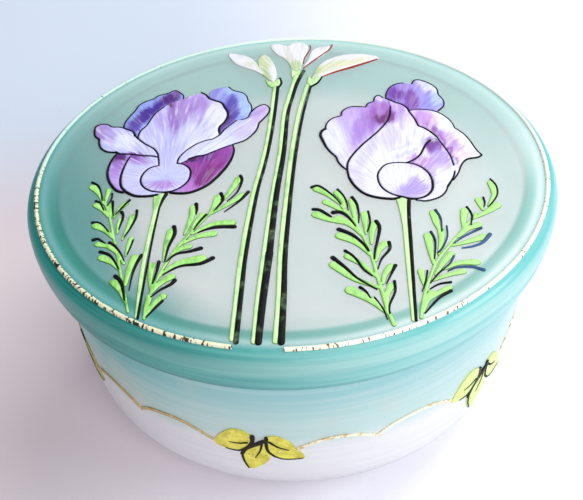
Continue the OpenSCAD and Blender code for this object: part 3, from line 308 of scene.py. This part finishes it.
# A ground whose green is above PALE_GROUND is pale, and shows its white strokes more
PALE_GROUND = 190
WHITE_ON_PALE = 0.55
WHITE_ON_DEEP = 0.16
# How many millimetres a loaded brush streak drags a patch away from the throat
BRUSH_DRAG = 6.5
# Brush streaks: how closely they stand round the throat, and how slowly they change along it
STREAKS_ROUND = 14.0
STREAKS_ALONG = 0.13
FINE_ROUND = 24.0
FINE_ALONG = 0.1


def lighter(rgb, by):
    """A screen colour made lighter by a number of steps, and never past white."""
    return tuple(min(255, c + by) for c in rgb)


def petal_material(name, ground, throat, patches, shade):
    """Hand-painted enamel: patches wet into a ground, dragged out in brush streaks from the throat."""
    s = Surface(name)
    streak = s.noise(1.0, detail=3, rough=0.6, at=s.around(throat, STREAKS_ROUND, STREAKS_ALONG))
    wander = s.add("ShaderNodeTexNoise", {"Vector": s.mm, "Scale": 0.5, "Detail": 2.0}).outputs[1]
    shift = s.vector("SUBTRACT", wander, (0.5, 0.5, 0.5))
    away = s.vector("NORMALIZE", s.vector("SUBTRACT", s.mm, (throat[0], throat[1], LID_TOP)))
    pull = s.math("MULTIPLY", s.math("SUBTRACT", streak, 0.5), BRUSH_DRAG)
    at = s.vector("ADD", s.vector("ADD", s.mm, shift), s.vector("SCALE", away, scale=pull))
    colour = s.mix(s.step(streak, 0.35, 0.7, 0, 0.5), ground, lighter(ground, 14))
    for x, y, wide, tall, turn, rgb, strength in patches:
        mask = s.math("MULTIPLY", s.patch(at, x, y, wide, tall, turn), strength)
        colour = s.mix(mask, colour, rgb)
    fine = s.noise(1.0, detail=2, at=s.around(throat, FINE_ROUND, FINE_ALONG))
    white_share = WHITE_ON_PALE if ground[1] > PALE_GROUND else WHITE_ON_DEEP
    light = s.mix(white_share, colour, STROKE_WHITE)
    dark = s.mix(0.28, colour, shade)
    colour = s.mix(s.step(fine, 0.5, 0.68, 0, 0.9), colour, light)
    colour = s.mix(s.step(fine, 0.5, 0.3, 0, 0.9), colour, dark)
    # Painted shade: darker toward the rim of the raised paint.
    colour = s.mix(s.step(s.crown, 1.0, 0.2, 0, 0.3), colour, shade)
    colour = s.mix(1.0, colour, PETAL_TONE, blend="MULTIPLY")
    s.bump(streak, 0.16, 0.8)
    s.bump(s.noise(0.9, detail=1), 0.03, 0.4)
    rough = s.step(s.noise(2.0), 0.3, 0.7, 0.34, 0.5)
    return s.finish(Base_Color=colour, Roughness=rough, IOR=1.5, Specular_IOR_Level=0.35,
                    Subsurface_Weight=0.04, Subsurface_Scale=0.0005)


# Greens are paler toward the right side of the lid, from minus this to plus this along X
GREEN_SIDE = 50
PALE_SPECK = (226, 250, 196)


def green_material(name, deep, mid, bright, pale_side):
    """Thick leaf green that pools darker in places, with painted shade at its rim and a painted highlight
    on its crown.
    """
    s = Surface(name)
    pool = s.noise(4.0, detail=2)
    drag = s.noise(1.6, detail=2, at=s.vector("MULTIPLY", s.mm, (1.6, 0.4, 1)))
    colour = s.mix(s.step(pool, 0.34, 0.62), deep, mid)
    across = s.step(s.x, -GREEN_SIDE, GREEN_SIDE, 0, pale_side)
    colour = s.mix(across, colour, bright)
    # Painted highlight: paler on the crown of the raised paint.
    crown = s.math("MULTIPLY", s.step(s.crown, 0.35, 1.0), s.step(drag, 0.34, 0.6, 0.25, 0.9))
    colour = s.mix(crown, colour, bright)
    # Painted shade: darker at the rim of the raised paint.
    rim = tuple(int(c * 0.6) for c in deep)
    colour = s.mix(s.step(s.crown, 0.75, 0.0, 0, 0.85), colour, rim)
    speck = s.step(s.noise(0.7, detail=2), 0.66, 0.78, 0, 0.3)
    colour = s.mix(speck, colour, PALE_SPECK)
    s.bump(drag, 0.12, 0.6)
    s.bump(s.noise(0.9, detail=1), 0.05, 0.4)
    rough = s.step(pool, 0.3, 0.7, 0.3, 0.44)
    return s.finish(Base_Color=colour, Roughness=rough, IOR=1.5)


def line_material(name, dark, worn, worn_share, tints=()):
    """Brush line: dense where loaded, greyed where the brush ran dry. A tint is x, y, half width,
    half height, colour, strength."""
    s = Surface(name)
    load = s.noise(4.5, detail=4)
    grain = s.noise(0.45, detail=3)
    edge = 0.78 - 0.3 * worn_share
    dry = s.math("MULTIPLY", s.step(load, edge - 0.1, edge + 0.12), s.step(grain, 0.35, 0.65, 0.3, 1.0))
    colour = s.mix(dry, dark, worn)
    colour = s.mix(s.step(grain, 0.6, 0.75, 0, 0.2), colour, lighter(dark, 30))
    for x, y, wide, tall, rgb, strength in tints:
        mask = s.math("MULTIPLY", s.patch(s.mm, x, y, wide, tall), strength)
        colour = s.mix(mask, colour, rgb)
    s.bump(grain, 0.05, 0.6)
    rough = s.step(load, 0.3, 0.7, 0.4, 0.6)
    return s.finish(Base_Color=colour, Roughness=rough, IOR=1.4, Specular_IOR_Level=0.16)


def rim_line_material(name):
    """Cream enamel bead over a dark gilt line: worn through in gaps at the left, sound and pale behind."""
    s = Surface(name)
    out = s.vector("LENGTH", s.join(s.x, s.y))
    turn = s.math("ARCTAN2", s.y, s.x)
    arc = s.join(s.math("MULTIPLY", turn, RIM_LINE_R), s.math("MULTIPLY", out, 0.6))
    gaps = s.noise(0.8, detail=2, at=arc)
    left = s.step(s.x, 30, -45)
    behind = s.step(s.y, -12, 22)
    off_centre = s.math("ABSOLUTE", s.math("SUBTRACT", out, RIM_LINE_R))
    ragged = s.math("ADD", s.math("MULTIPLY", off_centre, 0.16), s.math("MULTIPLY", left, 0.075))
    ragged = s.math("SUBTRACT", ragged, s.math("MULTIPLY", behind, 0.12))
    worn = s.step(s.math("ADD", gaps, ragged), 0.655, 0.7)
    cream = s.mix(left, (250, 252, 238), (222, 226, 192))
    yellowed = (238, 224, 176)
    cream = s.mix(s.step(s.noise(1.6, detail=3), 0.4, 0.7, 0, 0.5), cream, yellowed)
    pale_back = s.mix(left, (226, 238, 232), (168, 204, 202))
    cream = s.mix(s.math("MULTIPLY", behind, 0.8), cream, pale_back)
    dark = s.mix(left, (120, 92, 60), (26, 34, 24))
    colour = s.mix(worn, cream, dark)
    s.bump(gaps, 0.15, 0.5)
    return s.finish(Base_Color=colour, Roughness=s.step(worn, 0, 1, 0.34, 0.6), IOR=1.5)


def gilt_material(name):
    """Thin cream and gold line, rubbed pale at the right and browner at the left, with brown specks."""
    s = Surface(name)
    rub = s.noise(1.6, detail=4)
    left = s.step(s.x, 12, -40)
    gold = s.mix(s.step(rub, 0.38, 0.6), (186, 140, 78), (222, 194, 132))
    cream = s.mix(left, (242, 238, 216), (178, 162, 112))
    brown = (110, 80, 42)
    colour = s.mix(s.step(s.noise(2.2, detail=3), 0.36, 0.5, 0, 0.9), gold, cream)
    colour = s.mix(s.step(s.noise(0.7, detail=2), 0.62, 0.72, 0, 0.75), colour, brown)
    s.bump(rub, 0.12, 0.6)
    return s.finish(Base_Color=colour, Metallic=0.15, Roughness=s.step(rub, 0.3, 0.7, 0.3, 0.5), IOR=1.5)


def base_leaf_material(name):
    """Yellow-green enamel leaves with dark specks: paler and greener at the right as painted light, and
    olive at the left as painted shade.
    """
    s = Surface(name)
    mustard = (192, 182, 44)
    yellow = (222, 216, 84)
    straw = (238, 236, 148)
    ochre = (158, 132, 34)
    lit_green = (200, 228, 140)
    olive = (132, 134, 48)
    dark_speck = (88, 78, 28)
    pool = s.noise(3.0, detail=4)
    colour = s.mix(s.step(pool, 0.36, 0.66), mustard, yellow)
    colour = s.mix(s.step(s.noise(1.1, detail=3), 0.56, 0.72, 0, 0.6), colour, straw)
    colour = s.mix(s.step(s.noise(2.2, detail=2), 0.6, 0.72, 0, 0.5), colour, ochre)
    # Painted light: paler and greener at the right.
    colour = s.mix(s.step(s.x, 16, 44, 0, 0.75), colour, lit_green)
    # Painted shade: olive at the left.
    colour = s.mix(s.step(s.x, -30, -52, 0, 0.7), colour, olive)
    colour = s.mix(s.step(s.noise(0.8, detail=2), 0.62, 0.72, 0, 0.75), colour, dark_speck)
    s.bump(pool, 0.2, 0.5)
    s.bump(s.noise(0.5, detail=3), 0.05, 0.5)
    return s.finish(Base_Color=colour, Roughness=s.step(pool, 0.3, 0.7, 0.3, 0.44), IOR=1.5)


# ---- satin glass ----


# The satin's roughness is never under 0.3 and changes slowly, which keeps the glass free of marks
SATIN_LOW = 0.3
SATIN_HIGH = 0.4
SATIN_CLOUD = 17.0
SATIN_RELIEF = 0.1
SATIN_STRENGTH = 0.2
GLASS_IOR = 1.45

# The pale disc on the lid's top: its centre, and the radii where it begins and ends its fade
DISC_CENTRE = (3, -13, 0)
DISC_R = 43
DISC_FADE_R = 59
# The teal band just inside the cream line, painted shade of the lid's inner corner seen through the top, by
# radius: it starts, is full, starts to fade and ends
CORNER_SHADE_START = RIM_LINE_R - 6.8
CORNER_SHADE_FULL = RIM_LINE_R - 5.2
CORNER_SHADE_FADE = RIM_LINE_R - 4.0
CORNER_SHADE_END = RIM_LINE_R - 1.6
# The deep stain of the edge, by radius
STAIN_START = RIM_LINE_R - 2.2
STAIN_FULL = RIM_LINE_R + 0.4
# The pale band on the shoulder, a painted highlight, in millimetres under the lid's top: it starts, is
# full, starts to fade and ends
SHOULDER_HIGHLIGHT_START = 8.0
SHOULDER_HIGHLIGHT_FULL = 5.0
SHOULDER_HIGHLIGHT_FADE = 3.4
SHOULDER_HIGHLIGHT_END = 0.8
# The deeper lip, painted shade where the edge turns under, in millimetres over the lid's lower edge: full
# up to the first, gone at the second
LIP_SHADE_FULL = 0.8
LIP_SHADE_END = 2.4
# The direction, across the lid, that leads away from its front left, along which the painted shade there
# fades
FROM_FRONT_LEFT = (0.87, 0.5, 0)
# How clear the glass is: the lid at its middle and its edge, the bowl below and above its line
LID_MIDDLE_CLEAR = 0.52
LID_EDGE_CLEAR = 0.2
BOWL_LOW_CLEAR = 0.38
BOWL_HIGH_CLEAR = 0.3


def satin(s, colour, clear, streak):
    """Acid-etched surface: slow cloudy roughness, faint turned streaks and a soft swell."""
    rough = s.step(s.noise(SATIN_CLOUD, detail=0), 0.25, 0.75, SATIN_LOW, SATIN_HIGH)
    s.bump(streak, SATIN_RELIEF, SATIN_STRENGTH)
    s.bump(s.noise(5.0, detail=1), SATIN_RELIEF, SATIN_STRENGTH)
    return s.finish(Base_Color=colour, Roughness=rough, Transmission_Weight=clear, IOR=GLASS_IOR)


def lid_glass_material(name):
    """Teal stain, deep on the rounded edge, thinning to a pale disc on the top; painted shade darkens its
    left side, the back and front left of the top, the band inside the cream line and the lip, and a painted
    highlight lies on the shoulder.
    """
    s = Surface(name)
    flat = s.join(s.x, s.y)
    reach = s.vector("LENGTH", flat)
    streak = s.turned(46.0, 1.7)
    brush = s.step(streak, 0.34, 0.66)
    # Painted shade: every teal below turns darker toward the left side.
    left = s.step(s.x, 34, -62)
    front_left_shade = s.step(s.vector("DOT_PRODUCT", flat, FROM_FRONT_LEFT), 0, -62)
    cloud = s.step(s.noise(24.0, detail=3), 0.3, 0.7)
    middle = s.mix(cloud, (238, 250, 248), (248, 252, 251))
    # Painted shade: the ring outside the pale disc is darker at the back and at the front left.
    ring = s.mix(s.step(s.y, -14, 34), (224, 243, 242), (204, 238, 234))
    ring = s.mix(front_left_shade, ring, (122, 188, 186))
    # The edge's deep teal is the stain, and painted shade makes it darker at the left.
    stain = s.mix(left, (104, 192, 192), (0, 128, 122))
    brushed = s.mix(left, (176, 222, 217), (44, 178, 166))
    stain = s.mix(s.math("MULTIPLY", brush, 0.5), stain, brushed)
    disc = s.vector("LENGTH", s.vector("SUBTRACT", flat, DISC_CENTRE))
    disc = s.math("ADD", disc, s.math("MULTIPLY", cloud, 4.0))
    colour = s.mix(s.step(disc, DISC_R, DISC_FADE_R), middle, ring)
    # Painted shade of the lid's inner corner seen through the top, strongest at the front.
    band = s.math("MULTIPLY", s.step(reach, CORNER_SHADE_START, CORNER_SHADE_FULL), s.step(reach, CORNER_SHADE_END, CORNER_SHADE_FADE))
    front = s.step(s.y, 14, -24, 0.1, 0.85)
    corner_shade_teal = s.mix(left, (128, 204, 194), (48, 156, 142))
    colour = s.mix(s.math("MULTIPLY", band, front), colour, corner_shade_teal)
    colour = s.mix(s.step(reach, STAIN_START, STAIN_FULL), colour, stain)
    # Painted highlight: a pale band round the shoulder.
    shoulder = s.math("MULTIPLY", s.step(s.z, LID_TOP - SHOULDER_HIGHLIGHT_START, LID_TOP - SHOULDER_HIGHLIGHT_FULL),
                      s.step(s.z, LID_TOP - SHOULDER_HIGHLIGHT_END, LID_TOP - SHOULDER_HIGHLIGHT_FADE))
    shoulder_highlight_teal = s.mix(left, (206, 230, 224), (96, 172, 168))
    colour = s.mix(s.math("MULTIPLY", shoulder, 0.4), colour, shoulder_highlight_teal)
    # Painted shade: darker teal where the edge turns under.
    lip = s.step(s.z, LID_EDGE + LIP_SHADE_END, LID_EDGE + LIP_SHADE_FULL)
    lip_shade_teal = s.mix(left, (104, 178, 176), (20, 116, 116))
    colour = s.mix(s.math("MULTIPLY", lip, 0.7), colour, lip_shade_teal)
    clear = s.step(reach, 58, 69, LID_MIDDLE_CLEAR, LID_EDGE_CLEAR)
    return satin(s, colour, clear, streak)


def base_glass_material(name):
    """Pale teal stain under the lid, fading to the scalloped line, with painted shade darkening it at the
    left, and clear frosted glass below it.
    """
    s = Surface(name)
    streak = s.turned(60.0, 1.5)
    height = s.math("ADD", s.z, s.math("MULTIPLY", s.noise(16.0, detail=3), 4.0))
    left = s.step(s.x, -18, -66)
    teal = s.mix(s.step(height, SCALLOP_HIGH + 1, LID_EDGE), (200, 229, 225), (148, 207, 210))
    # Painted shade: the teal turns darker toward the left side.
    deep = s.mix(s.step(height, SCALLOP_HIGH - 2, LID_EDGE - 4), (186, 222, 216), (72, 186, 180))
    teal = s.mix(left, teal, deep)
    pale_streak = (222, 236, 238)
    warm_tone = (222, 218, 204)
    teal = s.mix(s.step(streak, 0.4, 0.7, 0, 0.28), teal, pale_streak)
    warm = s.step(s.noise(22.0, detail=2), 0.5, 0.72, 0, 0.35)
    teal = s.mix(warm, teal, warm_tone)
    clear = s.mix(s.step(streak, 0.3, 0.7), (247, 246, 252), (252, 252, 255))
    colour = s.mix(s.step(height, SCALLOP_LOW + 0.5, SCALLOP_HIGH + 1.5), clear, teal)
    see_through = s.step(height, SCALLOP_LOW, SCALLOP_HIGH, BOWL_LOW_CLEAR, BOWL_HIGH_CLEAR)
    return satin(s, colour, see_through, streak)


# ---- raised paint ----

# Height of the paint's edge, as a share of its full height, and how far in from it the dome is full
EDGE_SHARE = 0.3
DOME_WIDTH = 0.55
# How much of the height the brush's ridges take away
RELIEF = 0.22
# Ridges of a straight stroke, then of a fanned one: how closely they stand, how slowly they change
# along the stroke, and which slice of the noise they are cut from
STROKE_ACROSS = 1.5
STROKE_ALONG = 0.55
STROKE_SLICE = 3.0
FAN_ROUND = 14.0
FAN_ALONG = 0.16
FAN_SLICE = 7.0
# Points that fill an outline, in millimetres: rows this far in from the edge, then an even grid
RING_STEPS = (0.1, 0.24, 0.42)
ROW_SLACK = 0.86
GRID_STEP = 0.6
GRID_ROW_RISE = 0.866
GRID_GAP = 0.4
LONGEST_EDGE = 0.5
# A node's top is everything this close to its highest point, in millimetres
TOP_SLACK = 0.02
# Stands in for zero under a division
TINY = 1e-9
# Points compared with an outline at one time
BATCH = 400
# The triangulation's settings: it fills the whole hull, and joins points closer than this
WHOLE_HULL = 0
JOIN_DISTANCE = 1e-5


def top_triangles(mesh):
    """The flat top of an enamel node: its corners in mm, its triangles by corner, and its top height."""
    points = np.array([v.co for v in mesh.vertices]) / MM
    mesh.calc_loop_triangles()
    tris = np.array([t.vertices for t in mesh.loop_triangles])
    high = points[:, 2].max()
    keys, index = np.unique(np.round(points[:, :2], 4), axis=0, return_inverse=True)
    index = index.reshape(-1)
    on_top = (points[tris][:, :, 2] > high - TOP_SLACK).all(axis=1)
    tris = index[tris[on_top]]
    real = (tris[:, 0] != tris[:, 1]) & (tris[:, 1] != tris[:, 2]) & (tris[:, 0] != tris[:, 2])
    return keys, tris[real], high


def islands(tris, count):
    """Groups of triangles that share corners."""
    parent = list(range(count))

    def root(i):
        while parent[i] != i:
            parent[i] = parent[parent[i]]
            i = parent[i]
        return i

    for a, b, c in tris:
        parent[root(a)] = root(b)
        parent[root(b)] = root(c)
    groups = {}
    for t in tris:
        groups.setdefault(root(t[0]), []).append(t)
    return [np.array(group) for group in groups.values()]


def outline_edges(tris):
    """Edges that only one triangle uses, each with that triangle on its left."""
    sides = np.concatenate([tris[:, [0, 1]], tris[:, [1, 2]], tris[:, [2, 0]]])
    low_high = np.sort(sides, axis=1)
    _, first, count = np.unique(low_high, axis=0, return_index=True, return_counts=True)
    return sides[first[count == 1]]


def split_edges(points, edges, longest):
    """The outline as many short edges, with the corners it keeps."""
    order = {}
    spots = []
    short = []

    def place(key, spot):
        if key not in order:
            order[key] = len(spots)
            spots.append(spot)
        return order[key]

    for a, b in edges:
        start, end = points[a], points[b]
        parts = max(1, int(math.ceil(np.linalg.norm(end - start) / longest)))
        chain = [place(("corner", a), start)]
        chain += [place(("edge", a, b, k), start + (end - start) * k / parts) for k in range(1, parts)]
        chain.append(place(("corner", b), end))
        short += list(zip(chain[:-1], chain[1:]))
    return np.array(spots), np.array(short)


def distance_to(edges_a, edges_b, queries):
    """Distance from each query point to the nearest outline edge."""
    along = edges_b - edges_a
    length2 = (along ** 2).sum(1)
    found = []
    for start in range(0, len(queries), BATCH):
        q = queries[start:start + BATCH, None, :]
        t = (((q - edges_a) * along).sum(2) / length2).clip(0, 1)
        gap = q - (edges_a + t[..., None] * along)
        found.append(np.sqrt((gap ** 2).sum(2).min(1)))
    return np.concatenate(found) if found else np.zeros(0)


def inside(edges_a, edges_b, queries):
    """True where a query point lies inside the outline, by counting crossings."""
    found = []
    for start in range(0, len(queries), BATCH):
        q = queries[start:start + BATCH, None, :]
        crosses = (edges_a[:, 1] > q[..., 1]) != (edges_b[:, 1] > q[..., 1])
        rise = edges_b[:, 1] - edges_a[:, 1]
        rise = np.where(rise == 0, TINY, rise)
        x = edges_a[:, 0] + (q[..., 1] - edges_a[:, 1]) / rise * (edges_b[:, 0] - edges_a[:, 0])
        found.append((crosses & (q[..., 0] < x)).sum(1) % 2 == 1)
    return np.concatenate(found) if found else np.zeros(0, bool)


def filling_points(spots, short, edges_a, edges_b):
    """Points inside an outline: rows that follow the edge, then an even grid in the middle."""
    way = edges_b - edges_a
    way = way / np.linalg.norm(way, axis=1)[:, None]
    inward = np.stack([-way[:, 1], way[:, 0]], axis=1)
    corner_way = np.zeros_like(spots)
    np.add.at(corner_way, short[:, 0], inward)
    np.add.at(corner_way, short[:, 1], inward)
    size = np.linalg.norm(corner_way, axis=1)[:, None]
    corner_way = corner_way / np.maximum(size, TINY)
    rows = []
    for step in RING_STEPS:
        row = spots + corner_way * step
        row = row[inside(edges_a, edges_b, row)]
        row = row[distance_to(edges_a, edges_b, row) > step * ROW_SLACK]
        rows.append(row)
    low, high = spots.min(0), spots.max(0)
    across = np.arange(low[0], high[0], GRID_STEP)
    up = np.arange(low[1], high[1], GRID_STEP * GRID_ROW_RISE)
    grid = [(x + (i % 2) * GRID_STEP / 2, y) for i, y in enumerate(up) for x in across]
    grid = np.array(grid).reshape(-1, 2)
    grid = grid[inside(edges_a, edges_b, grid)]
    grid = grid[distance_to(edges_a, edges_b, grid) > RING_STEPS[-1] + GRID_STEP * GRID_GAP]
    return np.concatenate(rows + [grid])


def triangulate(spots, short, filling):
    """Corners and triangles of the outline with its filling."""
    points = [Vector(p) for p in (np.concatenate([spots, filling]) if len(filling) else spots)]
    edges = [tuple(map(int, e)) for e in short]
    made = delaunay_2d_cdt(points, edges, [], WHOLE_HULL, JOIN_DISTANCE)
    verts = np.array([tuple(v) for v in made[0]])
    faces = np.array([f for f in made[2] if len(f) == 3])
    return verts, faces


def brush_relief(x, y, throat):
    """Ridges left by the brush, -1 to 1: fanned round the throat of a flower, or along +Y without one."""
    if throat is None:
        return noise.noise(Vector((x * STROKE_ACROSS, y * STROKE_ALONG, STROKE_SLICE)))
    dx = x - throat[0]
    dy = y - throat[1]
    turn = math.atan2(dx, dy)
    return noise.noise(Vector((turn * FAN_ROUND, math.hypot(dx, dy) * FAN_ALONG, FAN_SLICE)))


def raised_paint(node, material, body, throat=None):
    """A closed, domed skin grown on the outline of a flat enamel node, which it replaces."""
    keys, tris, high = top_triangles(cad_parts[node].data)
    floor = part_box(node)[0].z / MM
    thick = high - floor
    verts, faces = [], []
    for group in islands(tris, len(keys)):
        spots, short = split_edges(keys, outline_edges(group), LONGEST_EDGE)
        a, b = spots[short[:, 0]], spots[short[:, 1]]
        filling = filling_points(spots, short, a, b)
        flat, made = triangulate(spots, short, filling)
        centres = flat[made].mean(1)
        made = made[inside(a, b, centres)]
        gap = distance_to(a, b, flat)
        rise = np.sqrt(1 - (1 - (gap / DOME_WIDTH).clip(0, 1)) ** 2)
        ridge = np.array([brush_relief(x, y, throat) for x, y in flat])
        share = EDGE_SHARE + (1 - EDGE_SHARE) * rise * (1 - RELIEF * (0.5 - 0.5 * ridge))
        start = len(verts)
        verts += [(x * MM, y * MM, (floor + thick * h) * MM) for (x, y), h in zip(flat, share)]
        corner = flat[made]
        turns = np.cross(corner[:, 1] - corner[:, 0], corner[:, 2] - corner[:, 0])
        made[turns < 0] = made[turns < 0][:, ::-1]
        faces += [tuple(int(i) + start for i in f) for f in made]
        rim = outline_edges(made)
        under = {}
        for i in np.unique(made):
            under[int(i)] = len(verts)
            verts.append((flat[i][0] * MM, flat[i][1] * MM, floor * MM))
        faces += [tuple(under[int(i)] for i in f[::-1]) for f in made]
        faces += [(int(j) + start, int(i) + start, under[int(i)], under[int(j)]) for i, j in rim]
    mesh = bpy.data.meshes.new("painted_" + node)
    mesh.from_pydata(verts, [], faces)
    mesh.validate()
    mesh.polygons.foreach_set("use_smooth", [True] * len(mesh.polygons))
    mesh.materials.append(material)
    piece = bpy.data.objects.new("painted_" + node, mesh)
    bpy.context.scene.collection.objects.link(piece)
    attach(piece, body)
    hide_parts(node)
    return piece


# ---- dress the nodes ----


def dress(node, material):
    """Puts a material on a CAD node that keeps its shape."""
    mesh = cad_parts[node].data
    mesh.materials.clear()
    mesh.materials.append(material)
    mesh.polygons.foreach_set("material_index", [0] * len(mesh.polygons))


BLACK = (7, 8, 12)
GREY_GREEN = (104, 124, 98)
VEIN_BROWN = (34, 32, 24)
VEIN_WORN = (96, 84, 48)
BUD_RED = (150, 44, 38)
BUD_RED_WORN = (206, 128, 108)

dress("lid_glass", lid_glass_material("lid_satin_glass"))
dress("base_glass", base_glass_material("base_satin_glass"))
dress("lid_rim_line", rim_line_material("lid_cream_line"))
dress("base_scallop_line", gilt_material("base_gilding"))
dress("base_leaves", base_leaf_material("base_yellow_enamel"))
dress("base_leaf_veins", line_material("base_vein_brown", VEIN_BROWN, VEIN_WORN, 0.4))

for name, (ground, throat, patches) in PETALS.items():
    shade = BUD_SHADE if name == "bud_petals" else PETAL_SHADE
    enamel = petal_material(name + "_enamel", ground, throat, patches, shade)
    raised_paint(name, enamel, "lid", throat)

# Greens are deep, mid and bright, and each node's number is how much paler it gets toward the right
LEFT_GREEN = ((76, 146, 48), (122, 194, 82), (168, 228, 128))
RIGHT_GREEN = ((86, 158, 60), (126, 198, 90), (166, 226, 126))
STEM_GREEN = ((120, 186, 92), (166, 220, 136), (206, 240, 178))
for name, greens, pale in (
    ("left_leaf_sprays", LEFT_GREEN, 0.2),
    ("right_leaf_sprays", RIGHT_GREEN, 0.6),
    ("centre_stems", STEM_GREEN, 0.3),
    ("left_flower_stem", STEM_GREEN, 0.2),
    ("right_flower_stem", STEM_GREEN, 0.4),
    ("bud_cups", STEM_GREEN, 0.3),
):
    raised_paint(name, green_material(name + "_enamel", *greens, pale), "lid")

# Two of the right leaves' strokes are bluish
BLUE_LINES = ((45, -38, 9, 9, (62, 98, 140), 0.9), (37, -25, 6, 6, (60, 92, 120), 0.6))
for name, worn_share, tints in (
    ("left_flower_lines", 0.1, ()),
    ("right_flower_lines", 0.2, ()),
    ("left_leaf_lines", 0.0, ()),
    ("right_leaf_lines", 0.2, BLUE_LINES),
    ("centre_stem_lines", 0.55, ()),
):
    enamel = line_material(name + "_enamel", BLACK, GREY_GREEN, worn_share, tints)
    raised_paint(name, enamel, "lid")

red = line_material("bud_red_enamel", BUD_RED, BUD_RED_WORN, 0.5)
raised_paint("bud_red_edges", red, "lid")


# ---- room ----


def floor_material():
    """Pale floor with painted shade: a little darker and warmer at the left, and darker and cooler at the
    back left.
    """
    s = Surface("pale_floor")
    warm = (224, 207, 212)
    cool_shade = (204, 216, 232)
    cloth = s.noise(60.0, detail=3)
    colour = s.mix(s.step(cloth, 0.3, 0.7), (238, 236, 246), (246, 245, 252))
    # Painted shade: darker and warmer toward the left.
    colour = s.mix(s.step(s.x, 40, -120, 0, 0.85), colour, warm)
    # Painted shade: darker and cooler at the back left.
    back_left_shade = s.math("MULTIPLY", s.step(s.y, 50, 140), s.step(s.x, 90, -60))
    colour = s.mix(back_left_shade, colour, cool_shade)
    s.bump(s.noise(0.8, detail=3), 0.05, 0.25)
    return s.finish(Base_Color=colour, Roughness=s.step(cloth, 0.3, 0.7, 0.75, 0.9))


# Metres: half the floor's side, and how far it lies under the box's foot
FLOOR_HALF = 3.0
FLOOR_DROP = 0.0002
mesh = bpy.data.meshes.new("floor")
corners = [(-FLOOR_HALF, -FLOOR_HALF, 0), (FLOOR_HALF, -FLOOR_HALF, 0),
           (FLOOR_HALF, FLOOR_HALF, 0), (-FLOOR_HALF, FLOOR_HALF, 0)]
mesh.from_pydata(corners, [], [(0, 1, 2, 3)])
mesh.materials.append(floor_material())
floor = bpy.data.objects.new("floor", mesh)
floor.location.z = cad_box[0].z - FLOOR_DROP
bpy.context.scene.collection.objects.link(floor)


def area_light(name, place, target, wide, tall, watts, colour):
    """A soft rectangular light at a place in metres, turned toward its target."""
    data = bpy.data.lights.new(name, "AREA")
    data.shape = "RECTANGLE"
    data.size = wide
    data.size_y = tall
    data.energy = watts
    data.color = colour
    light = bpy.data.objects.new(name, data)
    light.location = place
    light.rotation_euler = (Vector(target) - Vector(place)).to_track_quat("-Z", "Y").to_euler()
    bpy.context.scene.collection.objects.link(light)


AT_BOX = (0, 0, 0.03)
AT_LID = (0, 0, 0.05)
area_light("window", (0.62, -0.18, 0.38), AT_LID, wide=0.42, tall=0.32, watts=2.4, colour=(0.92, 0.98, 1.0))
area_light("overhead", (0.32, 0.36, 0.7), AT_BOX, wide=0.7, tall=0.6, watts=5.5, colour=(1.0, 0.99, 0.97))
area_light("front_fill", (0.2, -0.8, 0.5), AT_BOX, wide=0.7, tall=0.5, watts=5.4, colour=(1.0, 0.98, 0.96))
area_light("warm_room", (-0.9, -0.3, 0.6), AT_BOX, wide=0.6, tall=0.6, watts=1.0, colour=(1.0, 0.8, 0.78))

SKY_COLOUR = (0.86, 0.9, 1.0, 1.0)
SKY_STRENGTH = 0.32
world = bpy.data.worlds.new("soft_room")
world.use_nodes = True
sky = world.node_tree.nodes["Background"]
sky.inputs["Color"].default_value = SKY_COLOUR
sky.inputs["Strength"].default_value = SKY_STRENGTH
bpy.context.scene.world = world
bpy.context.scene.view_settings.view_transform = "Standard"

# ---- camera ----

# The camera's place in metres, the directions of its right and its back, and its lens
CAMERA_AT = (-0.0010, -0.2774, 0.2716)
CAMERA_RIGHT = Vector((0.998, -0.039, -0.047))
CAMERA_BACK = Vector((0.0, -0.766, 0.643)).normalized()
LENS_MM = 80.27
SENSOR_MM = 36.0
NEAREST = 0.01
camera_up = CAMERA_BACK.cross(CAMERA_RIGHT).normalized()
camera_right = camera_up.cross(CAMERA_BACK)
turned = Matrix((camera_right, camera_up, CAMERA_BACK)).transposed().to_4x4()
camera_data = bpy.data.cameras.new("camera")
camera_data.lens = LENS_MM
camera_data.sensor_width = SENSOR_MM
camera_data.clip_start = NEAREST
camera = bpy.data.objects.new("camera", camera_data)
camera.matrix_world = Matrix.Translation(CAMERA_AT) @ turned
bpy.context.scene.collection.objects.link(camera)
bpy.context.scene.camera = camera
